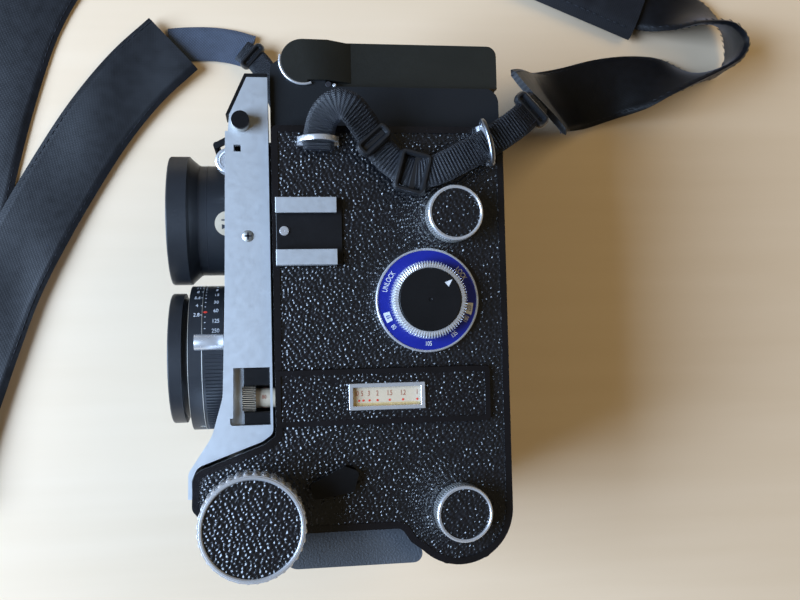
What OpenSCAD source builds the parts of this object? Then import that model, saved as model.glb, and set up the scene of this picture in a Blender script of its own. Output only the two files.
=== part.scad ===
// Twin lens reflex camera for roll film, lying on its right-hand side.
// +X points to the camera's back, +Y to its top and +Z away from the surface it lies on,
// which is the camera's left. The camera without its strap is centred on X = 0 and Y = 0.

/* [Body] */
// Width over both focus knobs
overall_w = 122; // [118:1:126]
// Width over the side covers
cover_w = 86; // [82:1:88]
// Front edge of the side covers
body_front = -21; // [-21.5:0.1:-20.5]
// Rear face of the back door
body_back = 56.3; // [56:0.1:56.5]
// Top edge of the side covers
body_top = 56.9; // [56.5:0.1:57.2]
// Lower edge of the side covers
body_bottom = -75; // [-76:0.5:-74]
// Thickness of a side cover with its rim
cover_t = 3; // [2.5:0.1:3]
// Width of the bright rim round a side cover
rim_w = 2.2; // [1.8:0.1:3]
// Radius of the film spool boss
boss_r = 17.8; // [17.5:0.1:17.8]

/* [Lenses] */
// Height of the viewing lens axis
view_y = 31.35; // [31.2:0.05:31.5]
// Height of the taking lens axis
take_y = -18.65; // [-18.8:0.05:-18.5]
// Foremost point of both lens rims
lens_front = -57; // [-58:0.5:-56]
// Radius of the lens rims
lens_rim_r = 23.4; // [22:0.1:23.6]

/* [Focusing] */
// Radius of the large focus knob
focus_knob_r = 16; // [14:0.5:16.5]
// Radius of the focus shaft
focus_shaft_r = 3; // [2.5:0.1:3.2]
// Pitch radius of the pinion
pinion_r = 6; // [5.5:0.1:6]

/* [Hood] */
// Top of the folded hood lid
hood_top = 88.1; // [87:0.1:89]
// Top of the hood frame
hood_base_top = 72.2; // [71.8:0.1:72.4]
// Height of the folding side panels
hood_panel_h = 19; // [16:0.5:19]

/* [Dials and knobs] */
// Radius of the blue lock dial
dial_r = 16.8; // [15:0.1:17]
// Radius of the film spool knobs
spool_knob_r = 8.9; // [8:0.1:9.2]

/* [Strap] */
// Width of the narrow webbing
webbing_w = 10; // [8:1:12]
// Width of the neck strap
strap_w = 30; // [25:1:34]
// Width of the neck pad
pad_w = 42; // [36:1:46]

/* [Hidden] */

mid_z = overall_w / 2;
left_z = mid_z + cover_w / 2;
right_z = mid_z - cover_w / 2;
core_left = left_z - cover_t;
core_right = right_z + cover_t;
cheek_left = left_z - 5;
cheek_right = right_z + 5;
cheek_t = 3;
boss = [38.5, -69.9];
upper_spool = [38, 27];
dial = [29, -1];
shaft = [-28.5, -69.15];
crank = [24, 12];
crank_tip = [-8, 30];
handle_pin = [5.9, 3.85];
run_fit = 0.05;
core_back = 50;
film_plane = 44;
door_hinge = [46.8, -84.2];
lid_pivot = [-9.9, 80.5];
magnifier_hinge = [45, 84.6];
bail = [-30.7, 58.7];
scale_rod = [-32, 93];
lock_pivot = [2, -56.6];
sync = [-35.2, 47.2];
filter_r = 22.6;
board_front = -36;
standard_back = -21.8;
rack_y = shaft[1] + pinion_r;
pinion_teeth = 19;
tooth_pitch = 2 * PI * pinion_r / pinion_teeth;
lug_r = 6.8;
lugs = [[-5.7, 51.6, 0], [50.2, 50.6, -75]];
base_bottom = -88.2;
black = "#17181b";
leather = "#20242a";
silver = "#b9bec4";
chrome = "#dfe3e8";

// ---- outlines ----

// Points of one rounded corner: p, c and n are the corner before, this one and the next.
function corner(p, c, n, r) =
    r <= 0 ? [c] :
    let (u = (p - c) / norm(p - c), v = (n - c) / norm(n - c),
        bend = acos(u * v), mid = (u + v) / norm(u + v),
        m = c + mid * r / sin(bend / 2), t = r / tan(bend / 2),
        a = c + u * t - m, b = c + v * t - m,
        a0 = atan2(a[1], a[0]), turn = atan2(b[1], b[0]) - a0,
        sweep = turn > 180 ? turn - 360 : turn < -180 ? turn + 360 : turn)
    [for (i = [0:8]) m + r * [cos(a0 + sweep * i / 8), sin(a0 + sweep * i / 8)]];

// A closed outline from corners [x, y, radius].
function outline(pts) =
    let (n = len(pts), xy = [for (p = pts) [p[0], p[1]]])
    [for (i = [0:n - 1]) each corner(xy[(i + n - 1) % n], xy[i], xy[(i + 1) % n], pts[i][2])];

// Side cover seen from the camera's left, with the round boss of the film spool.
cover_outline = outline(concat([[body_front, body_top, 2], [body_back, body_top, 3]],
    [for (a = [0:-5:-135]) [boss[0] + boss_r * cos(a), boss[1] + boss_r * sin(a), 0]],
    [[22, -79.5, 0], [19, body_bottom, 3], [-40, body_bottom, 8], [-47.6, -66, 3],
    [-47.2, -54.5, 5], [-24.6, -46.2, 4], [body_front, -43.6, 1]]));

// The nose and box that the chassis fills between the covers.
core_outline = outline([[body_front, 56.5, 0], [core_back, 56.5, 0], [core_back, -60, 0],
    [boss[0], -60, 0], [22, -76, 0], [18, body_bottom, 0], [-40, body_bottom, 8],
    [-46.6, -66, 3], [-46.4, -55, 4], [-24.8, -46.9, 3], [body_front, -44.3, 0]]);

// Outer shape of the front standard's cheeks, ahead of the body.
standard_outline = outline([[-28.6, 74, 0], [standard_back, 74, 0],
    [standard_back, -43.3, 3], [-25.4, -45.8, 4], [-46.2, -53.3, 4],
    [-47.9, -57.5, 2], [-47.9, -63.4, 0], [-49.2, -63.4, 0], [-49, -55, 4],
    [-41.4, -43.6, 14], [-37.8, -31, 16], [-35.1, 53, 0], [-34.4, 61.4, 0]]);

module prism(z0, z1) {
    translate([0, 0, z0]) linear_extrude(z1 - z0) children();
}

// Puts a shape modelled on the left side of the camera on its right side as well.
module on_right() {
    translate([0, 0, 2 * mid_z]) mirror([0, 0, 1]) children();
}

// A box from its lowest corner to its highest.
module block(low, high) {
    translate(low) cube(high - low);
}

// A post along Z from z0 to z1.
module post(at, r, z0, z1) {
    translate([at[0], at[1], z0]) cylinder(h = z1 - z0, r = r, $fn = 64);
}

// A post along X from x0 to x1 about a lens axis.
module post_x(y, z, r, x0, x1) {
    translate([x0, y, z]) rotate([0, 90, 0]) cylinder(h = x1 - x0, r = r, $fn = 96);
}

// A turned shape about X; the outline's points are [radius, x].
module turned(y, z, pts) {
    translate([0, y, z]) rotate([0, 90, 0]) rotate_extrude($fn = 96) polygon(pts);
}

// A ring about X.
module ring_x(y, z, r_in, r_out, x0, x1) {
    turned(y, z, [[r_in, x0], [r_out, x0], [r_out, x1], [r_in, x1]]);
}

// ---- body ----

module cover_2d() {
    polygon(cover_outline);
}

// Path of the back door in side view, grown by gap to leave it room.
module door_2d(gap) {
    translate([52 - gap, boss[1]]) square([body_back - 52 + 2 * gap, 56.5 - boss[1] + gap]);
    difference() {
        translate(boss) circle(boss_r + gap, $fn = 96);
        translate(boss) circle(14.9 - gap, $fn = 96);
        translate(boss) rotate(gap > 0 ? -61 : -59) mirror([0, 1]) translate([-40, 0]) square([80, 40]);
        translate([boss[0] - 40, boss[1]]) square([80, 40]);
        translate([boss[0] - 40, boss[1] - 40]) square([40, 80]);
    }
}

module spool_chambers() {
    post(boss, 13.4, 27.4, 94.6);
    post(upper_spool, 14, 27.4, 94.6);
    block([upper_spool[0] + 1, 13.3, 27.4], [core_back + 4, 40.7, 94.6]);
    block([boss[0] + 2, -79, 27.4], [core_back + 4, -58, 94.6]);
}

module rack_channels() {
    for (z = [cheek_right - 0.6, cheek_left - 4.6])
        block([-50, rack_y - 2.2, z], [27, rack_y + 3.8, z + 5.2]);
    for (z = [cheek_right - 0.6, cheek_left - 4.6]) post(shaft, 7.6, z, z + 5.2);
}

module chassis() {
    color(black) difference() {
        union() {
            prism(core_right, core_left) polygon(core_outline);
            post(boss, boss_r - 0.6, core_right, core_left);
        }
        // mirror chamber, open to the front and the top
        prism(31, 91) polygon([[-23, 9], [-15.5, 9], [33.5, 58], [-23, 58]]);
        // chamber behind the taking lens, and the film gate
        block([-23, -47, 33], [core_back + 1, 5.5, 89]);
        block([40, -46.6, 33], [core_back + 1, 9.4, 89]);
        block([film_plane, -55, 27.4], [core_back + 1, 16, 94.6]);
        spool_chambers();
        prism(core_right + 0.1, core_left - 0.1) door_2d(0.3);
        post(door_hinge, 3.1, core_right - 1, core_left + 1);
        rack_channels();
        post(shaft, 4, 27, 95);
        post(shaft, focus_shaft_r + run_fit, core_right - 1, core_left + 1);
        // room for the lens scale rod
        post_x(scale_rod[0], scale_rod[1], 3.6, -23, 39);
        // bores of the spool knobs' pins
        for (at = [boss, upper_spool]) post(at, 4 + run_fit, 90, core_left + 1);
        post(crank, 3 + run_fit, core_right - 1, 33.5);
        post(dial, 3 + run_fit, 92, core_left + 1);
        post(lock_pivot, 2 + run_fit, 95, core_left + 1);
        // guide of the shutter release
        post_x(-70, 36, 3 + run_fit, -48, -35.5);
    }
    // studs that the spools' lower ends turn on
    color(black) for (at = [boss, upper_spool]) post(at, 2, 26, 34);
}

// A side cover on the left: a plate with a rim that stands proud of its leatherette.
module side_cover_plate() {
    difference() {
        prism(core_left, left_z) cover_2d();
        prism(left_z - 1, left_z + 1) offset(delta = -rim_w) cover_2d();
        post(shaft, 3.6, core_left - 1, left_z + 1);
        post(door_hinge, 0.8 + run_fit, core_left - 1, left_z - 1.6);
    }
}

module left_side_cover() {
    color(black) difference() {
        side_cover_plate();
        for (at = [boss, upper_spool]) post(at, 4 + run_fit, core_left - 1, left_z + 1);
        post(dial, 3.6, core_left - 1, left_z + 1);
        post(lock_pivot, 2.4, core_left - 1, left_z + 1);
        block([3, -35.9, core_left - 1], [27, -27.9, left_z + 1]);
        // the rim is broken where the shoe and the scale cover lie over it
        block([-20, 10.8, left_z - 1], [0, 32.9, left_z + 1]);
        block([-23, -41, left_z - 1], [0, -22.8, left_z + 1]);
        for (lug = lugs) lug_foot(lug, 0.1);
    }
}

module right_side_cover() {
    color(black) difference() {
        on_right() side_cover_plate();
        post(crank, 3.6, right_z - 1, core_right + 1);
        on_right() for (lug = lugs) lug_foot(lug, 0.1);
    }
}

module leatherette_sheet() {
    prism(left_z - 1, left_z - 0.25) offset(delta = -rim_w) cover_2d();
}

module left_leatherette() {
    color(leather) difference() {
        leatherette_sheet();
        for (at = [boss, upper_spool]) post(at, 5, left_z - 2, left_z + 1);
        post(shaft, 4.4, left_z - 2, left_z + 1);
        post(dial, 4.4, left_z - 2, left_z + 1);
        post(lock_pivot, 3, left_z - 2, left_z + 1);
        block([-22, -41.2, left_z - 2], [49.5, -22.6, left_z + 1]);
        block([-22, 10.4, left_z - 2], [2.2, 33.4, left_z + 1]);
        for (lug = lugs) lug_foot(lug, 0.1);
    }
}

module right_leatherette() {
    color(leather) difference() {
        on_right() leatherette_sheet();
        post(crank, 15.4, right_z - 1, right_z + 2);
        post(shaft, 4.4, right_z - 1, right_z + 2);
        block([-13, -38, right_z - 1], [5, -27, right_z + 2]);
        on_right() for (lug = lugs) lug_foot(lug, 0.1);
    }
}

module scale_cover_2d() {
    polygon(outline([[-20.9, -22.9, 0.5], [49.3, -22.9, 1.6], [49.3, -40.9, 1.6],
        [-20.9, -40.9, 0.5]]));
}

module scale_cover() {
    color(black) difference() {
        prism(left_z - 1, left_z + 1.4) scale_cover_2d();
        prism(left_z + 0.9, left_z + 2) offset(delta = -1.7) scale_cover_2d();
        block([3, -35.9, left_z - 2], [27, -27.9, left_z + 2]);
    }
}

module scale_window_frame() {
    color(chrome) difference() {
        block([2.6, -36.2, left_z + 0.9], [27.4, -27.6, left_z + 2.1]);
        block([3.9, -34.9, left_z], [26.1, -28.9, left_z + 3]);
    }
}

module scale_plate() {
    color("#efe6c4") block([3.2, -35.7, left_z - 0.2], [26.8, -28.1, left_z + 0.5]);
}

module accessory_shoe() {
    color(silver) difference() {
        block([-19.8, 11, left_z - 1], [1.4, 32.7, left_z + 4]);
        // the slot, which is open to the rear, and the narrower gap above it
        block([-18, 12.55, left_z + 0.6], [3, 31.15, left_z + 2.7]);
        block([-21, 15.9, left_z + 0.6], [3, 27.8, left_z + 5]);
        block([-0.4, 10, left_z + 0.6], [3, 34, left_z + 5]);
        post([-17.2, 22.2], 1.25, left_z - 2, left_z + 2);
    }
}

module shoe_screws() {
    color(chrome) {
        post([-17.2, 22.2], 1.2, left_z - 1, left_z + 0.6);
        difference() {
            post([-17.2, 22.2], 1.5, left_z + 0.6, left_z + 1.2);
            block([-19.2, 21.95, left_z + 0.9], [-15.2, 22.45, left_z + 2]);
        }
    }
}

module lock_dial_ring() {
    color("#1c2fa0") difference() {
        post(dial, dial_r, left_z - 0.25, left_z + 1.8);
        post(dial, 4.4, left_z - 1, left_z + 3);
    }
}

module lock_dial_knob() {
    color(black) {
        post(dial, 3, 93, left_z + 3);
        post(dial, 12, left_z + 2.1, left_z + 6.4);
        post(dial, 10.2, left_z + 6.4, left_z + 7.4);
    }
}

module base_block() {
    color("#3a4046") difference() {
        prism(26, 96) polygon(outline([[-22, body_bottom, 0], [18, body_bottom, 0], [22, -76, 0],
            [24, -81, 4], [31, base_bottom, 3], [-18, base_bottom, 5]]));
        post(boss, boss_r + 0.1, 20, 100);
        // tripod socket, tapped to the usual quarter-inch size
        translate([0, base_bottom + 10, mid_z]) rotate([90, 0, 0])
            cylinder(h = 12, r = 2.55, $fn = 48);
    }
}

module base_feet() {
    color(black) difference() {
        for (z = [37, 97]) post([34.6, base_bottom + 2.1], 2.1, z - 3, z + 3);
        post(boss, boss_r - 0.58, 30, 101);
    }
}

// Foot of a strap lug, or the hole that it stands in.
module lug_foot(lug, gap) {
    translate([lug[0], lug[1], left_z - 1]) rotate([0, 0, lug[2]])
        translate([-lug_r - gap, -1.5 - gap, 0]) cube([2 * (lug_r + gap), 3 + 2 * gap, 1.9]);
}

// Strap lugs of one side: each is a half ring on a foot.
module lug_pair() {
    for (lug = lugs) {
        lug_foot(lug, 0);
        translate([lug[0], lug[1], left_z + 0.8]) rotate([0, 0, lug[2]])
            translate([0, -0.8, 0]) difference() {
                rotate([-90, 0, 0]) cylinder(h = 1.6, r = lug_r, $fn = 64);
                translate([0, -1, 0.6]) rotate([-90, 0, 0]) cylinder(h = 4, r = lug_r - 1.5, $fn = 64);
                translate([-8, -1, -8]) cube([16, 5, 8]);
            }
    }
}

module strap_lugs() {
    color(chrome) {
        lug_pair();
        on_right() lug_pair();
    }
}

module counter_window() {
    color("#dfe8ec") block([-12.6, -37.6, right_z - 1.2], [4.6, -27.4, right_z + 1]);
}

// Lugs on the hood frame that hold the pins of the folding panels.
module hood_lugs() {
    for (z = [35.8, 83.2]) block([50.3, 71, z], [53.2, 79, z + 3]);
    for (x = [-8.4, 49.8]) {
        block([x, 69, 88.7], [x + 3, 75.7, 91.5]);
        on_right() block([x, 69, 88.7], [x + 3, 75.7, 91.5]);
    }
}

module hood_frame() {
    color("#2b3138") difference() {
        union() {
            prism(26, 96) polygon(outline([[-21, 56.5, 0], [57.3, 56.5, 2.5], [57.3, 70, 5],
                [54, hood_base_top, 3], [-16, hood_base_top, 1], [-21, 70.5, 2]]));
            // ears that carry the lid's pivot pin
            for (z = [26, 93.6]) prism(z, z + 2.4) polygon(outline([[-21, 66, 0],
                [-2.4, 66, 0], [-2.4, 80.5, 6], [-9.9, 86.5, 5], [-21, 79, 4]]));
            hood_lugs();
        }
        block([-14.5, 56, 31], [46, 71.4, 91]);
        difference() {
            block([-14.5, 70, 31], [46, 74, 91]);
            hood_lugs();
        }
        for (z = [25, 93]) post(lid_pivot, 1.5 + run_fit, z, z + 4);
        post([51.6, 77.4], 1 + run_fit, 30, 92);
        for (z = [90, 2 * mid_z - 90]) post_x(74.2, z, 1 + run_fit, -9, 53);
    }
}

module focusing_screen() {
    color("#cfd6da") block([-14.3, 56.55, 31.2], [45.8, 58.7, 90.8]);
}

module reflex_mirror() {
    color("#cfd8df") translate([-15.5, 9, 33]) rotate([0, 0, 45])
        translate([1.5, 0.02, 0]) cube([62, 2, 56]);
}

// ---- folding hood ----

lid_back = 57.7;
lid_left = 93;
lid_right = 29;

module lid_2d(wall) {
    polygon(outline([[-17.4 + wall, 73, 0], [-17.4 + wall, hood_top - wall, 7.2 - wall],
        [lid_back - wall, hood_top - wall, 3.4 - wall / 2], [lid_back - wall, 73, 0]]));
}

module hood_lid() {
    color("#1b1d1a") {
        difference() {
            union() {
                prism(lid_right, lid_left) intersection() {
                    lid_2d(0);
                    union() {
                        translate(lid_pivot) circle(7.5, $fn = 96);
                        translate([lid_pivot[0], 60]) square([90, 40]);
                    }
                }
            }
            prism(lid_right + 1.3, lid_left - 1.3) difference() {
                lid_2d(1.3);
                translate([lid_pivot[0] - 9, 60]) square([2.2, 40]);
            }
            block([lid_pivot[0], 60, lid_right + 1.3], [lid_back - 1.3, 74, lid_left - 1.3]);
            // the front wall is narrower than the lid, and swings down between the frame's lugs
            for (z = [lid_right + 1.3, lid_left - 5.5])
                block([-18, 60, z], [lid_pivot[0], 84, z + 4.2]);
        }
        for (z = [[26.2, lid_right + 1.4], [lid_left - 1.4, 95.8]]) post(lid_pivot, 1.5, z[0], z[1]);
    }
}

module hood_side_panel() {
    // folded flat towards the middle; its rear end is cut at 45 degrees
    translate([0, 74.2, 90]) rotate([-90, 0, 0]) linear_extrude(1)
        polygon([[-5, 0], [49.5, 0], [49.5 - hood_panel_h, hood_panel_h],
            [-1, hood_panel_h], [-5, hood_panel_h - 4]]);
    post_x(74.2, 90, 1, -8.2, 52.6);
}

module hood_left_panel() {
    color(black) hood_side_panel();
}

module hood_right_panel() {
    color(black) on_right() hood_side_panel();
}

module hood_rear_panel() {
    color(black) {
        block([51.6 - hood_panel_h, 77.4, 39.6], [51.6, 78.4, 82.4]);
        post([51.6, 77.4], 1, 36.2, 85.8);
    }
}

module magnifier_plate() {
    color(black) {
        difference() {
            block([magnifier_hinge[0] - 28, 83.6, mid_z - 15.5], [magnifier_hinge[0], 84.8, mid_z + 15.5]);
            translate([magnifier_hinge[0] - 15, 90, mid_z]) rotate([90, 0, 0])
                cylinder(h = 10, r = 11.3, $fn = 64);
        }
        post(magnifier_hinge, 1, mid_z - 15.5, mid_z + 15.5);
    }
}

module magnifier_lens() {
    color("#cfe4ea") translate([magnifier_hinge[0] - 15, 84.2, mid_z]) rotate([90, 0, 0])
        rotate_extrude($fn = 96) polygon(concat([[0, -2], [0, 2]],
            [for (i = [0:6]) [11.3 * i / 6, 2 - 1.5 * pow(i / 6, 2)]],
            [for (i = [6:-1:1]) [11.3 * i / 6, -2 + 1.5 * pow(i / 6, 2)]]));
}

// ---- back ----

module back_door() {
    color(black) {
        difference() {
            prism(core_right + 0.4, core_left - 0.4) door_2d(0);
            block([53, 43.6, 57.7], [58, 51.3, 64.3]);
        }
        for (z = [[core_right + 0.4, 36], [86, core_left - 0.4]]) post(door_hinge, 2.6, z[0], z[1]);
        post(door_hinge, 0.8, core_right - 1.2, core_left + 1.2);
        // studs of the pressure plate's springs
        for (y = [-40, 2], z = [48, 74]) post_x(y, z, 2, 46.3, 52.5);
    }
}

module pressure_plate() {
    color("#26282b") block([44.7, -50, 30], [46.3, 13, 92]);
}

module back_catch() {
    color(chrome) {
        block([body_back + 0.1, 44.5, 50], [57.5, 53.5, 72]);
        block([53.4, 47, 58], [body_back + 0.2, 51, 64]);
    }
}

// ---- front standard ----

module cheek() {
    difference() {
        prism(cheek_left - cheek_t, cheek_left) polygon(standard_outline);
        // notch for the bail's end
        block([-40, 49.2, 90], [-30.8, 51.5, 100]);
        // window over the lens scale wheel
        prism(90, 100) polygon(outline([[-35.6, -21.7, 1], [-22.6, -21.7, 0],
            [-22.6, -40.4, 0], [-35.6, -40.4, 1]]));
    }
}

// Slots that the bail's arms swing through.
module bail_slots() {
    for (z = [34.4, 83.4]) block([-45, 50, z], [-28, 67, z + 4.2]);
}

module front_standard() {
    color(silver) difference() {
        union() {
            cheek();
            on_right() cheek();
            // front wall round the lens board
            prism(cheek_right, cheek_left) polygon([[-35.8, 56], [-37.4, -38], [-34.6, -38], [-33, 56]]);
            // apron below the taking lens
            prism(cheek_right, cheek_left) difference() {
                polygon(standard_outline);
                translate([1.5, -0.8]) polygon(standard_outline);
                translate([-60, -36]) square([60, 120]);
                translate([-30, -60]) square([20, 30]);
            }
            // lining of the scale window
            prism(cheek_left - 5, cheek_left - 2.9) polygon([[-35.4, -41.8], [-33.2, -20], [-32, -20],
                [-32, -41.8]]);
        }
        block([-50, -46, 34], [-22, 60, 88]);
        post(bail, 1.5 + run_fit, 20, 100);
        post_x(scale_rod[0], scale_rod[1], 5.4, -34, -20);
        bail_slots();
        // room for the cocking lever's sweep and the sync terminal
        post_x(take_y, mid_z, 32.6, -40, -35.7);
        post(sync, 4.15, 88, 95.9);
    }
}

module standard_top_cover() {
    color(black) difference() {
        prism(cheek_right, cheek_left) polygon([[-34.4, 61.5], [-28.6, 74.05],
            [standard_back, 74.05], [standard_back, 75.3], [-29.3, 75.3], [-35.6, 61.5]]);
        bail_slots();
    }
}

module lens_board() {
    color(black) difference() {
        block([board_front, -45.9, 34.1], [board_front + 3, 57, 87.9]);
        post_x(view_y, mid_z, 17, -40, -30);
        post_x(take_y, mid_z, 17, -40, -30);
        // corners that leave the bail's arms free
        for (z = [33, 83.4]) block([-38, 53.4, z], [-32, 58, z + 5.4]);
    }
}

// One rack: a bar with teeth that point down to the pinion.
module rack(z) {
    prism(z, z + 4) union() {
        translate([-47.9, rack_y + 1.1]) square([74, 2.2]);
        for (i = [-9:27]) translate([shaft[0] + tooth_pitch * i, rack_y - 0.6])
            polygon([[-0.62, 1.8], [-0.27, 0], [0.27, 0], [0.62, 1.8]]);
    }
}

module focus_racks() {
    color(silver) {
        rack(cheek_right);
        rack(cheek_left - 4);
    }
}

module bail_latch() {
    color(black) {
        post(bail, 1.5, 22, left_z - 4.9);
        post(bail, 2.9, left_z - 4.9, left_z);
        for (z = [36.5, 85.5]) {
            prism(z - 1, z + 1) polygon([[-30.7, 57.6], [-30.7, 59.8], [-39.4, 55.2], [-39.4, 53]]);
        }
        post([-39.4, 54.1], 1.1, 35.5, 86.5);
    }
}

module bellows() {
    color("#121212") difference() {
        for (i = [0:5]) {
            step = i % 2;
            translate([-32.9 + 1.98 * i, 0, 0])
                block([0, step - 45.4, 34.6 + step], [1.98, 56 - step, 87.4 - step]);
        }
        block([-40, -42.5, 38.5], [-20, 52.5, 83.5]);
    }
}

module focus_shaft() {
    color(silver) {
        post(shaft, focus_shaft_r, 5, overall_w - 3);
        for (z = [cheek_right, cheek_left - 4]) prism(z, z + 4) union() {
            translate(shaft) circle(pinion_r - 0.7, $fn = 64);
            for (i = [0:pinion_teeth - 1]) translate(shaft) rotate(90 + 360 * (i + 0.5) / pinion_teeth)
                polygon([[pinion_r - 1, -0.6], [pinion_r + 0.35, -0.28], [pinion_r + 0.35, 0.28],
                    [pinion_r - 1, 0.6]]);
        }
    }
}

// A focus knob: a scalloped wheel with a rim that stands proud of its leather disc.
module focus_knob() {
    difference() {
        union() {
            post(shaft, focus_knob_r, overall_w - 11, overall_w);
            post(shaft, 8, left_z + 0.3, overall_w - 11);
        }
        post(shaft, focus_knob_r - 1.3, overall_w - 0.7, overall_w + 1);
        post(shaft, focus_shaft_r, left_z, overall_w - 3);
        for (i = [0:35]) translate([shaft[0], shaft[1], 0]) rotate([0, 0, 10 * i])
            translate([focus_knob_r + 0.6, 0, overall_w - 12]) cylinder(h = 11, r = 1, $fn = 16);
    }
}

module left_focus_knob() {
    color(leather) focus_knob();
}

module right_focus_knob() {
    color(leather) on_right() focus_knob();
}

module focus_lock_lever() {
    color(black) {
        post(lock_pivot, 2, 96, left_z + 1);
        prism(left_z + 0.2, left_z + 3) polygon(outline([[0.5, -53.8, 2], [5.4, -55.6, 1.5],
            [3.6, -62, 1.5], [-9.4, -64, 1.5], [-10.6, -59.2, 1.5]]));
    }
}

module lens_scale_rod() {
    color("#e6dcb4") {
        post_x(scale_rod[0], scale_rod[1], 3.2, -33.6, 37);
        post_x(scale_rod[0], scale_rod[1], 4.9, -31.6, -27.4);
    }
}

// ---- lenses ----

module viewing_barrel() {
    color(black) turned(view_y, mid_z, [[17.4, board_front], [20, board_front],
        [20, -46.5], [lens_rim_r - 1, -49.3], [lens_rim_r, -50.2], [lens_rim_r, lens_front + 0.4],
        [lens_rim_r - 0.3, lens_front], [filter_r, lens_front], [filter_r, lens_front + 4],
        [17.4, -51]]);
}

// A lens about X: half thickness at the middle and at the rim, between x0 and its radius.
function lens_points(r, x, mid, rim) = concat(
    [for (i = [0:6]) [r * i / 6, x - mid + (mid - rim) * pow(i / 6, 2)]],
    [for (i = [6:-1:0]) [r * i / 6, x + mid - (mid - rim) * pow(i / 6, 2)]]);

module glass_pair(y, r) {
    color("#a9c4d6") {
        turned(y, mid_z, lens_points(r, -49.4, 2.6, 1));
        turned(y, mid_z, lens_points(r, -40, 2.2, 0.8));
    }
}

module viewing_glass() {
    glass_pair(view_y, 17.3);
}

module taking_glass() {
    glass_pair(take_y, 15.9);
}

module shutter_housing() {
    color(black) {
        turned(take_y, mid_z, [[16, board_front], [22, board_front], [22, -50.2], [16, -50.2]]);
    }
}

module speed_ring() {
    color(black) ring_x(take_y, mid_z, 22.05, 26, -45, -38.2);
}

module aperture_ring() {
    color(black) ring_x(take_y, mid_z, 22.05, 26, -49.9, -45.3);
}

module taking_rim() {
    color(black) turned(take_y, mid_z, [[16, -50.2], [21.6, -50.2], [21.6, -52.4], [lens_rim_r, -52.4],
        [lens_rim_r, lens_front + 0.4], [lens_rim_r - 0.3, lens_front], [filter_r, lens_front],
        [filter_r, lens_front + 4], [16, -51.5]]);
}

module cocking_lever() {
    color(chrome) {
        ring_x(take_y, mid_z, 22.05, 24, -37.9, -36.3);
        translate([0, take_y, mid_z]) rotate([79, 0, 0]) {
            block([-37.9, 23, -1.6], [-36.3, 29, 1.6]);
            translate([-47.4, 29.2, 0]) rotate([0, 90, 0]) cylinder(h = 9.6, r = 2.7, $fn = 48);
        }
    }
}

module sync_terminal() {
    color(chrome) {
        post(sync, 4.1, 88.2, 94);
    }
}

// ---- film transport ----

module spool_knob(at) {
    post(at, 2.2, 88, 96);
    post(at, 4, 95, left_z + 1);
    difference() {
        post(at, spool_knob_r, left_z + 0.2, left_z + 8);
        post(at, spool_knob_r - 0.9, left_z + 7.4, left_z + 9);
    }
}

module upper_spool_knob() {
    color(leather) spool_knob(upper_spool);
}

module lower_spool_knob() {
    color(leather) spool_knob(boss);
}

module spool(at) {
    difference() {
        union() {
            post(at, 12.4, 28.3, 29.5);
            post(at, 5.5, 29.5, 92.8);
            post(at, 12.4, 92.8, 94);
        }
        post(at, 2.05, 27, 36);
        post(at, 2.5, 86, 95);
    }
}

module supply_spool() {
    color("#7a1d1d") spool(boss);
}

module takeup_spool() {
    color("#7a1d1d") spool(upper_spool);
}

crank_angle = atan2(crank_tip[1] - crank[1], crank_tip[0] - crank[0]);
crank_len = norm(crank_tip - crank);

// Places a shape at the crank's tip, with +X along the arm.
module handle_frame() {
    translate([crank_tip[0], crank_tip[1], 0]) rotate([0, 0, crank_angle]) children();
}

// A round along the handle frame's Y from y0 to y1, at [x, z].
module along_y(at, r, y0, y1) {
    translate([at[0], y1, at[1]]) rotate([90, 0, 0]) cylinder(h = y1 - y0, r = r, $fn = 32);
}

module film_crank() {
    color(black) difference() {
        union() {
            post(crank, 3, 1, 33);
            post(crank, 15, 7, right_z);
            post(crank, 13.5, 0, 7.1);
            translate([crank[0], crank[1], 4]) rotate([0, 0, crank_angle])
                translate([0, -4.5, 0]) cube([crank_len, 9, 4]);
            post(crank_tip, 5.5, 4, 8);
        }
        // room for the folded handle and its barrel
        translate([crank[0], crank[1], 0]) rotate([0, 0, crank_angle])
            translate([crank_len - 9, 0, -1]) cylinder(h = 5.4, r = 8, $fn = 48);
        handle_frame() block([4.1, -1.75, 2], [9, 1.75, 9]);
    }
    // ears that carry the handle's pin
    color(black) handle_frame() for (y = [-1.8, 3.4]) difference() {
        union() {
            block([2, y - 1.6, 4.4], [handle_pin[0] + 1.7, y, 8]);
            along_y(handle_pin, 1.7, y - 1.6, y);
        }
        along_y(handle_pin, 0.8 + run_fit, y - 2, y + 1);
    }
}

module crank_handle() {
    color(silver) handle_frame() {
        difference() {
            post([0, 0], 5.2, 0, 3.7);
            block([3.9, -6, -1], [6, 6, 5]);
        }
        block([3, -1.5, 2.4], [handle_pin[0], 1.5, 3.7]);
        along_y(handle_pin, 0.8, -3.4, 3.4);
        along_y(handle_pin, 1.4, -1.5, 1.5);
    }
}

module shutter_button() {
    color(chrome) {
        post_x(-70, 36, 3, -51, -39);
        post_x(-70, 36, 4.6, -53, -50.4);
    }
}

// ---- strap ----

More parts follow.
